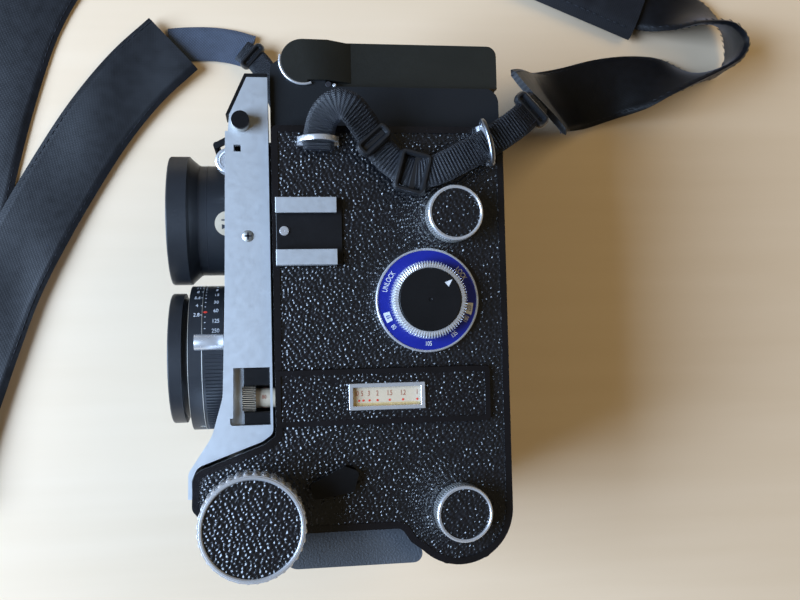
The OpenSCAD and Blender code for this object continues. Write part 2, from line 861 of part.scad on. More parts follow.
// A route's rows are [x, y, z, heading, roll]: heading is the way the strap runs, seen from
// above, and roll turns its width up out of the level.
left_webbing_route = [[-5.7, 48, 107.4, 90, 0], [-5.5, 53, 107.6, 88, 0],
    [-4, 58, 110.5, 75, 0], [-0.5, 61, 114, 30, 0], [4, 60, 115.5, -30, 0],
    [8.5, 55.5, 112.5, -48, 0], [12, 51, 109, -48, 0], [18, 44.5, 107.6, -40, 0],
    [24.5, 40.6, 108.6, -15, 0], [31, 40.9, 109.4, 12, 0], [37.5, 43.6, 109.8, 28, 0],
    [44, 47, 109.4, 30, 0], [50.5, 50.8, 108, 32, 0], [57, 55, 107.4, 36, 0],
    [63, 59.5, 105.8, 40, 0], [68, 64.4, 101, 43, 0], [72.5, 68.4, 94, 42, 0]];
right_webbing_route = [[-5.7, 47.5, 14.4, 90, 0], [-5.9, 54, 14, 92, 0],
    [-8, 64, 14, 104, 0], [-12, 76, 14.4, 110, 0], [-16.5, 88, 14, 112, 0],
    [-21, 99, 11, 116, 0], [-26, 108, 7.4, 130, 0], [-33, 113.8, 4.4, 158, 0]];
tab_route = [[-64, 116.4, 1.1, 4, 0], [-56, 117.2, 1.1, 4, 0], [-46, 117.4, 1.1, 0, 0],
    [-37, 116.2, 1.6, -10, 0], [-29, 113.8, 2.4, -20, 0]];
strap_route = [[72, 68, 95, 40, 0], [79, 73.6, 77, 38, 0], [87, 79.6, 56, 36, 0],
    [95, 85, 34, 33, 0], [104, 90, 16, 29, 0], [117, 94.6, 6, 24, 0],
    [133, 99.6, 4, 14, 8], [149, 102, 8, 6, 25], [163, 102.6, 14, 4, 55],
    [176, 103.4, 16.6, 10, 80], [186, 107, 17, 35, 92], [191, 114.5, 17, 80, 98],
    [188, 123.5, 17, 120, 108], [179, 130.5, 14, 145, 128], [167, 136, 8.6, 156, 155],
    [152, 142, 5, 158, 180], [128, 151.5, 5, 158, 180], [104, 161, 5, 158, 180],
    [76, 172, 5, 160, 180], [44, 181.5, 5, 165, 180], [8, 187.5, 5, 176, 180],
    [-28, 187.5, 5, 185, 180], [-62, 181, 5, 198, 180], [-90, 168, 4.4, 212, 180],
    [-110, 150, 2, 230, 180], [-123, 128, 1.3, 245, 180], [-132, 102, 1.3, 252, 180],
    [-140, 72, 1.3, 256, 180], [-147, 40, 1.3, 258, 180], [-153, 5, 1.3, 261, 180],
    [-158, -30, 1.3, 264, 180], [-161, -60, 1.3, 266, 180], [-162.5, -76, 2, 268, 180],
    [-163, -81, 5, 86, 0], [-161, -74, 7.8, 82, 0], [-156, -58, 6.6, 76, 0],
    [-148, -34, 5, 72, 0], [-140, -10, 4.6, 72, 0], [-132, 12, 4.4, 68, 0],
    [-122, 33, 4, 62, 0], [-109, 57, 3, 57, 0], [-94, 81, 3.2, 54, 0],
    [-78, 101, 4, 49, 0], [-62, 116, 5, 42, 0]];
pad_first = 15;
pad_last = 23;
webbing_t = 1.4;
strap_t = 2.2;
pad_t = 8.8;

// The four corners of a strap's section at row i of a route.
function section(route, i, w, t) =
    let (row = route[i], n = len(route),
        side = row[3] - 90,
        s = [cos(row[4]) * cos(side), cos(row[4]) * sin(side), sin(row[4])],
        next = route[min(i + 1, n - 1)], last = route[max(i - 1, 0)],
        along = [next[0] - last[0], next[1] - last[1], next[2] - last[2]],
        up = cross(s, along) / norm(cross(s, along)), at = [row[0], row[1], row[2]])
    [for (c = [[-0.5, -0.5], [0.5, -0.5], [0.5, 0.5], [-0.5, 0.5]]) at + s * w * c[0] + up * t * c[1]];

// A flat band swept along rows first to last of a route.
module band(route, w, t, first, last) {
    n = last - first + 1;
    points = [for (i = [first:last]) each section(route, i, w, t)];
    end = 4 * n - 4;
    sides = [for (i = [0:n - 2], k = [0:3]) each
        let (a = 4 * i + k, b = 4 * i + (k + 1) % 4) [[a, b, b + 4], [a, b + 4, a + 4]]];
    ends = [[0, 2, 1], [0, 3, 2], [end, end + 1, end + 2], [end, end + 2, end + 3]];
    polyhedron(points, concat(sides, ends), convexity = 8);
}

module strap_webbing() {
    color(black) {
        band(left_webbing_route, webbing_w, webbing_t, 0, len(left_webbing_route) - 1);
        band(right_webbing_route, webbing_w, webbing_t, 0, len(right_webbing_route) - 1);
    }
}

// A slide that the webbing passes through, lying level and turned to the webbing's heading.
module slide(at, heading, size) {
    translate(at) rotate([0, 0, heading]) difference() {
        translate(-size / 2) cube(size);
        translate([-size[0], -size[1] / 2 + 1.4, -size[2] / 2 + 1])
            cube([2 * size[0], size[1] - 2.8, size[2] - 2]);
    }
}

module strap_buckles() {
    color(black) {
        slide([12, 51, 109], -48, [6, 13.6, 4.6]);
        slide([24.5, 40.6, 108.6], -15, [11, 14.4, 4.4]);
        slide([67, 63.4, 102], 42, [4, 14, 5.6]);
        slide([-28.4, 110.6, 6], 140, [5, 13.4, 4.8]);
    }
}

module strap_tab() {
    color("#3b4250") band(tab_route, 15, 1.8, 0, len(tab_route) - 1);
}

module neck_strap() {
    color(black) band(strap_route, strap_w, strap_t, 0, len(strap_route) - 1);
}

module neck_pad() {
    color(leather) band(strap_route, pad_w, pad_t, pad_first, pad_last);
}

chassis();
left_side_cover();
left_leatherette();
right_side_cover();
right_leatherette();
scale_cover();
scale_window_frame();
scale_plate();
accessory_shoe();
shoe_screws();
lock_dial_ring();
lock_dial_knob();
base_block();
base_feet();
hood_frame();
focusing_screen();
reflex_mirror();
strap_lugs();
counter_window();
hood_lid();
hood_left_panel();
hood_right_panel();
hood_rear_panel();
magnifier_plate();
magnifier_lens();
back_door();
pressure_plate();
back_catch();
front_standard();
standard_top_cover();
lens_board();
focus_racks();
bail_latch();
bellows();
focus_shaft();
left_focus_knob();
right_focus_knob();
focus_lock_lever();
lens_scale_rod();
viewing_barrel();
viewing_glass();
shutter_housing();
aperture_ring();
speed_ring();
cocking_lever();
taking_rim();
taking_glass();
sync_terminal();
upper_spool_knob();
lower_spool_knob();
supply_spool();
takeup_spool();
film_crank();
crank_handle();
shutter_button();
strap_webbing();
strap_buckles();
strap_tab();
neck_strap();
neck_pad();
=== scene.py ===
"""Looks of the twin lens reflex camera: materials, fine detail and the strap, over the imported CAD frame."""
from math import cos, exp, pi, radians, sin, sqrt

import bpy
import numpy as np
from mathutils import Matrix, Vector


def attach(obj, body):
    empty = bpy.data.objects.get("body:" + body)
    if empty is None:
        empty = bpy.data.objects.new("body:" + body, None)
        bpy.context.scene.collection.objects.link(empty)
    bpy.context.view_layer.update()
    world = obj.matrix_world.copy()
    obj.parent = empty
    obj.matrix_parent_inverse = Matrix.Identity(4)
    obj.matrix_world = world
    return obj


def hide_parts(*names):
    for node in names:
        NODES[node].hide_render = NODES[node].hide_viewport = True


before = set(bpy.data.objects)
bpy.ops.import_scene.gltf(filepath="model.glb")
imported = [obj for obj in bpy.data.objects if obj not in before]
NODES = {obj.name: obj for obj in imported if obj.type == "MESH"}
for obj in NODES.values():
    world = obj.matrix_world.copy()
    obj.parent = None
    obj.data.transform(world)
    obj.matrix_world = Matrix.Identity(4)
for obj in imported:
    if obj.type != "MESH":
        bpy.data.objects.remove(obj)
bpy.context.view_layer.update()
MM = 0.001
MID_Z, LEFT_Z, RIGHT_Z = 61.0, 104.0, 18.0  # the camera's middle, left face and right face, in millimetres

# ---- camera and stage ----

# The camera pose was fitted to points of the picture; lengths are in millimetres, angles in radians.
LENS_MM, SENSOR_MM = 39.70453, 36.0
VIEW_TILT = (-0.0421335, 0.1407104, 0.0176452)
VIEW_SHIFT = Vector((47.86214, 1.57560, 0.0))
VIEW_DISTANCE = 296.71167
VIEW_PIVOT = Vector((68.5134, 0.0, 104.0))

# The clipping distances, the floor and the lamps are in metres.
CLIP = (0.01, 20)
FLOOR_SIZE = 4
FLOOR_WOOD = (0.70, 0.535, 0.37)
GRAIN_DARK, GRAIN_LIGHT = (0.695, 0.53, 0.36), (0.725, 0.56, 0.39)
SKY, SKY_STRENGTH = (1.0, 0.85, 0.6, 1), 0.08
# place, target, size, power and colour of each lamp
WINDOW = ((-0.86, -0.10, 0.66), (0, 0, 0.05), (0.7, 0.8), 36, (0.525, 0.71, 1.0))
ROOM = ((0.75, 0.35, 0.9), (0, 0, 0), (0.9, 0.9), 5.0, (1.0, 0.81, 0.47))


def add_object(name, data):
    obj = bpy.data.objects.new(name, data)
    bpy.context.scene.collection.objects.link(obj)
    return obj


def make_camera():
    rx, ry, rz = VIEW_TILT
    turn = Matrix.Rotation(rz, 3, "Z") @ Matrix.Rotation(ry, 3, "Y") @ Matrix.Rotation(rx, 3, "X")
    data = bpy.data.cameras.new("camera")
    data.lens, data.sensor_width = LENS_MM, SENSOR_MM
    data.clip_start, data.clip_end = CLIP
    cam = add_object("camera", data)
    place = turn.transposed() @ (Vector((0, 0, VIEW_DISTANCE)) - VIEW_SHIFT) + VIEW_PIVOT
    cam.matrix_world = Matrix.Translation(place * MM) @ turn.transposed().to_4x4()
    bpy.context.scene.camera = cam


def make_stage():
    bpy.ops.mesh.primitive_plane_add(size=FLOOR_SIZE)
    floor = bpy.context.object
    floor.name = "floor"
    mat, nt, bsdf = blank("table_top", FLOOR_WOOD, 0.55)
    colour_by(nt, bsdf, noise(nt, 6, 5, (1, 14, 1)), [(0.3, GRAIN_DARK), (0.7, GRAIN_LIGHT)])
    floor.data.materials.append(mat)

    world = bpy.data.worlds.new("world")
    bpy.context.scene.world = world
    world.use_nodes = True
    back = world.node_tree.nodes["Background"]
    back.inputs["Color"].default_value = SKY
    back.inputs["Strength"].default_value = SKY_STRENGTH
    lamp("window", *WINDOW)
    lamp("room", *ROOM).visible_glossy = False
    bpy.context.scene.view_settings.view_transform = "Standard"


def lamp(name, place, target, size, power, colour):
    data = bpy.data.lights.new(name, "AREA")
    data.shape, data.size, data.size_y = "RECTANGLE", size[0], size[1]
    data.energy, data.color = power, colour
    obj = add_object(name, data)
    obj.location = place
    obj.rotation_mode = "QUATERNION"
    obj.rotation_quaternion = (Vector(target) - Vector(place)).to_track_quat("-Z", "Y")
    return obj


# ---- material building ----

def blank(name, colour, rough, metal=0.0, **sockets):
    mat = bpy.data.materials.new(name)
    mat.use_nodes = True
    mat.diffuse_color = (*colour, 1)
    nt = mat.node_tree
    bsdf = nt.nodes["Principled BSDF"]
    bsdf.inputs["Base Color"].default_value = (*colour, 1)
    bsdf.inputs["Roughness"].default_value = rough
    bsdf.inputs["Metallic"].default_value = metal
    set_sockets(bsdf, sockets)
    return mat, nt, bsdf


def set_sockets(node, sockets):
    """Sets constants on a node's sockets; an underscore stands for a space in a name."""
    for key, value in sockets.items():
        node.inputs[key.replace("_", " ")].default_value = value


def add_node(nt, kind, **sockets):
    node = nt.nodes.new("ShaderNode" + kind)
    set_sockets(node, sockets)
    return node


def stretch(nt, node, scale=(1, 1, 1), turn=(0, 0, 0)):
    """Feeds a texture with object coordinates, scaled and turned."""
    mapping = add_node(nt, "Mapping", Scale=scale, Rotation=turn)
    nt.links.new(add_node(nt, "TexCoord").outputs["Object"], mapping.inputs["Vector"])
    nt.links.new(mapping.outputs["Vector"], node.inputs["Vector"])


def noise(nt, scale, detail, along=(1, 1, 1)):
    """The value of a noise texture."""
    node = add_node(nt, "TexNoise", Scale=scale, Detail=detail)
    stretch(nt, node, along)
    return node.outputs["Fac"]


def colour_by(nt, bsdf, value, stops):
    """Colours the surface by a value, between two stops."""
    node = add_node(nt, "ValToRGB")
    for element, (place, colour) in zip(node.color_ramp.elements, stops):
        element.position, element.color = place, (*colour, 1)
    nt.links.new(value, node.inputs["Fac"])
    nt.links.new(node.outputs["Color"], bsdf.inputs["Base Color"])


def rough_by(nt, bsdf, value, low, high):
    """Varies the roughness between low and high by a value."""
    node = add_node(nt, "MapRange", To_Min=low, To_Max=high)
    nt.links.new(value, node.inputs["Value"])
    nt.links.new(node.outputs["Result"], bsdf.inputs["Roughness"])


def bump(nt, bsdf, height, distance):
    node = add_node(nt, "Bump", Strength=1.0, Distance=distance)
    nt.links.new(height, node.inputs["Height"])
    nt.links.new(node.outputs["Normal"], bsdf.inputs["Normal"])


def combine(nt, kind, *values):
    """A math node of one kind; a value is a socket or a number."""
    node = add_node(nt, "Math")
    node.operation = kind
    for place, value in zip(node.inputs, values):
        if isinstance(value, float):
            place.default_value = value
        else:
            nt.links.new(value, place)
    return node.outputs["Value"]


def paint(name, dark, light, rough, grain=900, depth=0.00002, **sockets):
    """Paint with a fine grain, slow colour variation and uneven gloss."""
    mat, nt, bsdf = blank(name, dark, rough, **sockets)
    colour_by(nt, bsdf, noise(nt, 35, 4), [(0.35, dark), (0.65, light)])
    fine = noise(nt, grain, 3)
    rough_by(nt, bsdf, fine, rough - 0.08, rough + 0.1)
    bump(nt, bsdf, fine, depth)
    return mat


def metal(name, colour, rough, along=(1, 1, 1), depth=0.000004, bare=1.0, smears=0.86):
    """Bare or plated metal with fine lines across the stretched axis and faint smears."""
    mat, nt, bsdf = blank(name, colour, rough, bare)
    lines = noise(nt, 500, 3, along)
    rough_by(nt, bsdf, lines, rough - 0.06, rough + 0.09)
    colour_by(nt, bsdf, noise(nt, 28, 5), [(0.3, tuple(c * smears for c in colour)), (0.7, colour)])
    bump(nt, bsdf, lines, depth)
    return mat


def pebbled(name, dark, light, rough):
    """Leathercloth: fine creases over the pebbles, which are in the mesh where it shows. Its colour is painted
    lighter in the middle of each cell and darker towards the cell's edges: painted highlight on the pebble tops
    and painted shade in the creases.
    """
    mat, nt, bsdf = blank(name, dark, rough, Coat_Weight=0.8, Coat_Roughness=0.26)
    cells = add_node(nt, "TexVoronoi", Scale=1000)
    stretch(nt, cells, (1.3, 0.8, 1), (0, 0, 0.7))
    # painted highlight on the pebble tops and painted shade in the creases between them, for leathercloth and
    # bellows
    colour_by(nt, bsdf, cells.outputs["Distance"], [(0.0, light), (0.7, dark)])
    crease = noise(nt, 2600, 4)
    rough_by(nt, bsdf, crease, rough - 0.1, rough + 0.12)
    bump(nt, bsdf, combine(nt, "MULTIPLY_ADD", crease, 0.25, cells.outputs["Distance"]), -0.00009)
    return mat


def woven(name, dark, light, rough, pitch=0.0006, sheen=0.4, tint=(0.3, 0.4, 0.7), depth=0.00012):
    """Cloth of two thread directions, with fuzz. Its colour follows the weave's height: painted highlight on
    the thread crowns and painted shade in the gaps, with random tone from the fuzz.
    """
    mat, nt, bsdf = blank(name, dark, rough, Sheen_Weight=sheen, Sheen_Roughness=0.35, Sheen_Tint=(*tint, 1))
    coord = add_node(nt, "UVMap")
    heights = []
    for turn in (0, pi / 2):
        mapping = add_node(nt, "Mapping", Rotation=(0, 0, turn + pi / 4))
        nt.links.new(coord.outputs["UV"], mapping.inputs["Vector"])
        wave = add_node(nt, "TexWave", Scale=0.31 / pitch, Distortion=0.6)
        nt.links.new(mapping.outputs["Vector"], wave.inputs["Vector"])
        heights.append(wave.outputs["Fac"])
    fuzz = noise(nt, 260, 5)
    height = combine(nt, "ADD", combine(nt, "MULTIPLY", *heights), fuzz)
    # lighter where the weave is high and darker where it is low: painted highlight and painted shade, plus
    # random tone from the fuzz
    colour_by(nt, bsdf, height, [(0.35, dark), (0.95, light)])
    rough_by(nt, bsdf, fuzz, rough - 0.08, rough + 0.08)
    bump(nt, bsdf, height, depth)
    return mat


def glass(name, tint, coat):
    """Clear glass with a faint coating that varies."""
    mat, nt, bsdf = blank(name, tint, 0.03, Transmission_Weight=0.85, IOR=1.52)
    film = noise(nt, 60, 3)
    colour_by(nt, bsdf, film, [(0.3, tint), (0.8, coat)])
    rough_by(nt, bsdf, film, 0.02, 0.06)
    return mat


def plain_ink(name, colour):
    """Matt printing ink, worn in small patches."""
    mat, nt, bsdf = blank(name, colour, 0.45)
    colour_by(nt, bsdf, noise(nt, 1500, 2), [(0.35, tuple(c * 0.8 for c in colour)), (0.6, colour)])
    return mat


M = {
    "body": paint("body_paint", (0.006, 0.006, 0.007), (0.010, 0.0105, 0.012), 0.42, 1400,
                  Specular_IOR_Level=0.35),
    "rim": paint("rim_enamel", (0.004, 0.004, 0.005), (0.007, 0.007, 0.009), 0.22, 700, 0.000006,
                 Coat_Weight=0.6, Coat_Roughness=0.1),
    "leather": pebbled("leathercloth", (0.006, 0.0065, 0.008), (0.013, 0.014, 0.017), 0.2),
    "black": paint("black_paint", (0.0045, 0.0045, 0.005), (0.008, 0.008, 0.009), 0.34, 1200, 0.00001,
                   Specular_IOR_Level=0.35),
    "lid": paint("lid_paint", (0.010, 0.010, 0.008), (0.014, 0.014, 0.011), 0.46, 1500, 0.00003,
                 Specular_IOR_Level=0.4),
    "hood": paint("hood_paint", (0.0055, 0.0065, 0.008), (0.009, 0.010, 0.012), 0.48, 1500, 0.00003,
                  Specular_IOR_Level=0.4),
    "crinkle": paint("crinkle_paint", (0.040, 0.045, 0.052), (0.072, 0.08, 0.092), 0.5, 1500, 0.00025),
    "chrome": metal("chrome", (0.86, 0.87, 0.90), 0.24, bare=0.72),
    "satin": metal("satin_plating", (0.64, 0.63, 0.58), 0.42, depth=0.000012),
    "steel_wire": metal("steel_wire", (0.42, 0.44, 0.48), 0.3),
    "barrel": paint("lens_paint", (0.013, 0.0145, 0.017), (0.019, 0.021, 0.025), 0.38, 1200, 0.00001),
    "silver": metal("silver_paint", (0.62, 0.63, 0.64), 0.5, depth=0.00002, bare=0.85, smears=0.96),
    "cream": paint("cream_enamel", (0.47, 0.38, 0.27), (0.55, 0.46, 0.34), 0.35, 900, 0.000004),
    "blue": paint("blue_enamel", (0.006, 0.013, 0.19), (0.009, 0.018, 0.24), 0.30, 800, 0.000004,
                  Coat_Weight=0.4, Coat_Roughness=0.15),
    "screen": glass("ground_glass", (0.75, 0.78, 0.80), (0.85, 0.87, 0.88)),
    "mirror": metal("mirror_face", (0.85, 0.87, 0.90), 0.05, depth=0.000001),
    "glass": glass("lens_glass", (0.60, 0.62, 0.80), (0.45, 0.50, 0.85)),
    "steel": metal("dark_steel", (0.13, 0.13, 0.14), 0.4, (20, 1, 1)),
    "bellows": pebbled("bellows_cloth", (0.014, 0.014, 0.015), (0.022, 0.022, 0.023), 0.6),
    "spool": paint("spool_plastic", (0.30, 0.03, 0.03), (0.36, 0.04, 0.035), 0.35, 700, 0.000005),
    "strap": woven("strap_cloth", (0.0016, 0.0018, 0.0026), (0.0036, 0.004, 0.006), 0.42, 0.0011, 0.08,
                   (0.35, 0.45, 0.75), 0.00002),
    "webbing": woven("webbing_cloth", (0.0015, 0.0018, 0.0025), (0.007, 0.008, 0.012), 0.42, 0.0004, 0.06),
    "buckle": paint("buckle_plastic", (0.008, 0.0085, 0.010), (0.013, 0.0135, 0.015), 0.3, 600, 0.00001,
                    Coat_Weight=0.5, Coat_Roughness=0.2),
    "suede": woven("suede", (0.028, 0.036, 0.055), (0.060, 0.074, 0.105), 0.85, 0.0009, 0.8, (0.5, 0.6, 0.9)),
    "pad": woven("pad_cloth", (0.002, 0.002, 0.003), (0.006, 0.006, 0.009), 0.7, 0.0008, 0.06, depth=0.00006),
    "thread": woven("thread", (0.008, 0.009, 0.012), (0.025, 0.027, 0.034), 0.6, 0.0003, 0.2),
    "white": plain_ink("white_ink", (0.62, 0.63, 0.65)),
    "red": plain_ink("red_ink", (0.70, 0.05, 0.03)),
    # black ink for print on the viewing lens disc; it is also painted shade where it stands for screw slots,
    # lens grooves and a hole
    "ink": plain_ink("black_ink_and_painted_shade", (0.02, 0.02, 0.025)),
    "brown": plain_ink("brown_ink", (0.35, 0.10, 0.06)),
    "ochre": plain_ink("ochre_ink", (0.55, 0.42, 0.20)),
}

LOOKS = {
    "body": "chassis back_door magnifier_plate",
    "rim": "left_side_cover right_side_cover scale_cover",
    "leather": "left_leatherette right_leatherette",
    "black": "base_feet hood_left_panel hood_right_panel hood_rear_panel standard_top_cover lens_board"
             " bail_latch focus_lock_lever film_crank lock_dial_knob accessory_shoe",
    "barrel": "shutter_housing aperture_ring speed_ring viewing_barrel taking_rim",
    "lid": "hood_lid", "hood": "hood_frame", "crinkle": "base_block",
    "chrome": "scale_window_frame shoe_screws strap_lugs back_catch cocking_lever sync_terminal"
              " shutter_button left_focus_knob right_focus_knob upper_spool_knob lower_spool_knob",
    "satin": "focus_racks focus_shaft crank_handle",
    "silver": "front_standard",
    "cream": "scale_plate lens_scale_rod", "blue": "lock_dial_ring",
    "screen": "focusing_screen counter_window", "mirror": "reflex_mirror",
    "glass": "magnifier_lens viewing_glass taking_glass", "steel": "pressure_plate",
    "bellows": "bellows", "spool": "supply_spool takeup_spool",
    "webbing": "strap_webbing", "buckle": "strap_buckles", "suede": "strap_tab",
    "strap": "neck_strap", "pad": "neck_pad",
}


def dress_cad():
    """Gives each CAD node its material."""
    for key, names in LOOKS.items():
        for name in names.split():
            for slot in NODES[name].material_slots:
                slot.material = M[key]


# ---- mesh building, in millimetres ----

CAP_HEIGHT = 0.72  # of the letters, as a share of the font size
SINK = 0.02  # how far marks sit in the face that they are printed on


def piece(name, verts, faces, look, body, slot, smooth=True, angle=40, uv=None):
    """A mesh of its own that rides a body, with a look. The slot is not used."""
    mesh = bpy.data.meshes.new(name)
    mesh.from_pydata([Vector(v) * MM for v in verts], [], faces)
    mesh.validate()
    if uv is not None:
        layer = mesh.uv_layers.new(name="UVMap")
        index = np.empty(len(mesh.loops), int)
        mesh.loops.foreach_get("vertex_index", index)
        layer.data.foreach_set("uv", np.asarray(uv, float)[index].ravel())
    mesh.materials.append(M[look])
    obj = add_object(name, mesh)
    if smooth:
        mesh.shade_smooth()
        mesh.set_sharp_from_angle(angle=radians(angle))
    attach(obj, body)
    return obj


def net(n, m, wrap=False):
    """Quads between n rings of m points each; wrap joins the last ring to the first."""
    return [(i * m + k, i * m + (k + 1) % m, (i + 1) % n * m + (k + 1) % m, (i + 1) % n * m + k)
            for i in range(n if wrap else n - 1) for k in range(m)]


def turns(n):
    """The angles of n points round a circle."""
    return [2 * pi * k / n for k in range(n)]


class Build:
    """Gathers vertices and faces of several simple shapes into one mesh."""

    def __init__(self):
        self.v, self.f = [], []

    def add(self, verts, faces):
        n = len(self.v)
        self.v += [tuple(v) for v in verts]
        self.f += [tuple(i + n for i in f) for f in faces]
        return self

    def lathe(self, profile, place, segs=96, close=True, start=0.0, sweep=360.0):
        """place turns (radius, height, angle) into a point; profile holds (radius, height)."""
        n, full = len(profile), sweep >= 359.9
        rings = segs if full else segs + 1
        verts = [place(r, h, radians(start + sweep * k / segs)) for k in range(rings) for r, h in profile]
        faces = []
        for k in range(segs):
            a, b = k * n, ((k + 1) % rings) * n
            for i in range(n if close else n - 1):
                j = (i + 1) % n
                faces.append((a + i, a + j, b + j, b + i))
        if not full and close:
            faces += [tuple(range(n))[::-1], tuple(range(segs * n, segs * n + n))]
        return self.add(verts, faces)

    def box(self, low, high, place=None):
        c = [(x, y, z) for x in (low[0], high[0]) for y in (low[1], high[1]) for z in (low[2], high[2])]
        faces = [(0, 1, 3, 2), (4, 6, 7, 5), (0, 4, 5, 1), (2, 3, 7, 6), (0, 2, 6, 4), (1, 5, 7, 3)]
        return self.add([place(*p) for p in c] if place else c, faces)

    def piece(self, name, *args, **options):
        return piece(name, self.v, self.f, *args, **options)


def about_z(at):
    return lambda r, h, a: (at[0] + r * cos(a), at[1] + r * sin(a), h)


def about_x(y, z):
    """Angle 0 is +Z and 90 degrees is +Y."""
    return lambda r, h, a: (h, y + r * sin(a), z + r * cos(a))


def lettering(text, size, thick=0.12):
    """Flat letters of a cap height, centred: vertices [x, y, z] with z from 0 to thick, and faces."""
    data = bpy.data.curves.new("letters", "FONT")
    data.body, data.size = text, size / CAP_HEIGHT
    data.align_x, data.align_y = "CENTER", "CENTER"
    data.extrude, data.resolution_u = thick / 2, 3
    obj = add_object("letters", data)
    bpy.context.view_layer.update()
    mesh = bpy.data.meshes.new_from_object(obj.evaluated_get(bpy.context.evaluated_depsgraph_get()))
    verts = [(v.co.x, v.co.y, v.co.z + thick / 2) for v in mesh.vertices]
    faces = [tuple(p.vertices) for p in mesh.polygons]
    bpy.data.objects.remove(obj)
    bpy.data.curves.remove(data)
    bpy.data.meshes.remove(mesh)
    return verts, faces


def on_ring(build, text, size, x, phi, radius, y, squeeze=0.82, z=MID_Z):
    """Letters wrapped on a ring about X, reading along +X, at the angle phi up from +Z."""
    verts, faces = lettering(text, size)
    put = about_x(y, z)
    build.add([put(radius - SINK + h, x + a * squeeze, radians(phi) + b / radius)
               for a, b, h in verts], faces)


def on_disc(build, text, size, at, radius, angle, z, squeeze, inward=False):
    """Letters that follow a circle, with their tops outwards or inwards."""
    verts, faces = lettering(text, size)
    flip = -1 if inward else 1
    for a, b, h in verts:
        t, r = radians(angle) - flip * a * squeeze / radius, radius + flip * b
        build.v.append((at[0] + r * cos(t), at[1] + r * sin(t), z - SINK + h))
    n = len(build.v) - len(verts)
    build.f += [tuple(i + n for i in f) for f in faces]


# ---- pebbled leathercloth as real relief ----

PEBBLE_LONG, PEBBLE_SHORT = 1.25 * 1.28, 1.25 * 0.86
PEBBLE_TURN = 35
LATTICE = 512


def pebbles(xs, ys, seed):
    """Height of the pebble relief, 0 to 1, at points, from the two nearest of a jittered lattice."""
    rng = np.random.default_rng(seed)
    turn = radians(PEBBLE_TURN)
    u = (xs * cos(turn) + ys * sin(turn)) / PEBBLE_LONG
    v = (-xs * sin(turn) + ys * cos(turn)) / PEBBLE_SHORT
    jitter = rng.random((LATTICE, LATTICE, 3))
    iu, iv = np.floor(u).astype(int), np.floor(v).astype(int)
    best = np.full(u.shape, 9.0)
    second = best.copy()
    lift = np.zeros(u.shape)
    for du in (-1, 0, 1):
        for dv in (-1, 0, 1):
            cell = jitter[(iu + du) % LATTICE, (iv + dv) % LATTICE]
            d = np.hypot(iu + du + 0.1 + 0.8 * cell[..., 0] - u,
                         iv + dv + 0.1 + 0.8 * cell[..., 1] - v)
            near = d < best
            second = np.where(near, best, np.minimum(second, d))
            lift = np.where(near, cell[..., 2], lift)
            best = np.where(near, d, best)
    edge = np.clip((second - best) / 0.45, 0, 1)
    dome = 1 - np.clip(best / 0.95, 0, 1) ** 2
    return (edge * edge * (3 - 2 * edge)) * (0.35 + 0.65 * dome) * (0.55 + 0.45 * lift)


def inside(px, py, loops):
    """Even-odd test of points against closed loops."""
    result = np.zeros(px.shape, bool)
    for loop in loops:
        for (x0, y0), (x1, y1) in zip(loop, loop[1:] + loop[:1]):
            if y0 != y1:
                cross = (y0 > py) != (y1 > py)
                result ^= cross & (px < (x1 - x0) * (py - y0) / (y1 - y0) + x0)
    return result


def top_loops(node, up=1):
    """Outline loops, in millimetres, of a CAD node's highest level face, or its lowest where up is -1."""
    mesh = NODES[node].data
    co = np.array([v.co for v in mesh.vertices]) / MM
    level = co[:, 2].max() if up > 0 else co[:, 2].min()
    key = {}
    ids = [key.setdefault((round(c[0], 3), round(c[1], 3)), len(key)) for c in co]
    points = list(key)
    count = {}
    for p in mesh.polygons:
        if all(abs(co[i, 2] - level) < 0.01 for i in p.vertices):
            ring = [ids[i] for i in p.vertices]
            for a, b in zip(ring, ring[1:] + ring[:1]):
                count[(a, b)] = count.get((a, b), 0) + 1
    border = {a: b for a, b in count if (b, a) not in count}
    loops = []
    while border:
        start, at = next(iter(border.items()))
        loop = [points[start]]
        del border[start]
        while at != start and at in border:
            loop.append(points[at])
            at = border.pop(at)
        loops.append(loop)
    return loops


RELIEF, SHEET_THICK, SPARE = 0.5, 0.6, 0.25


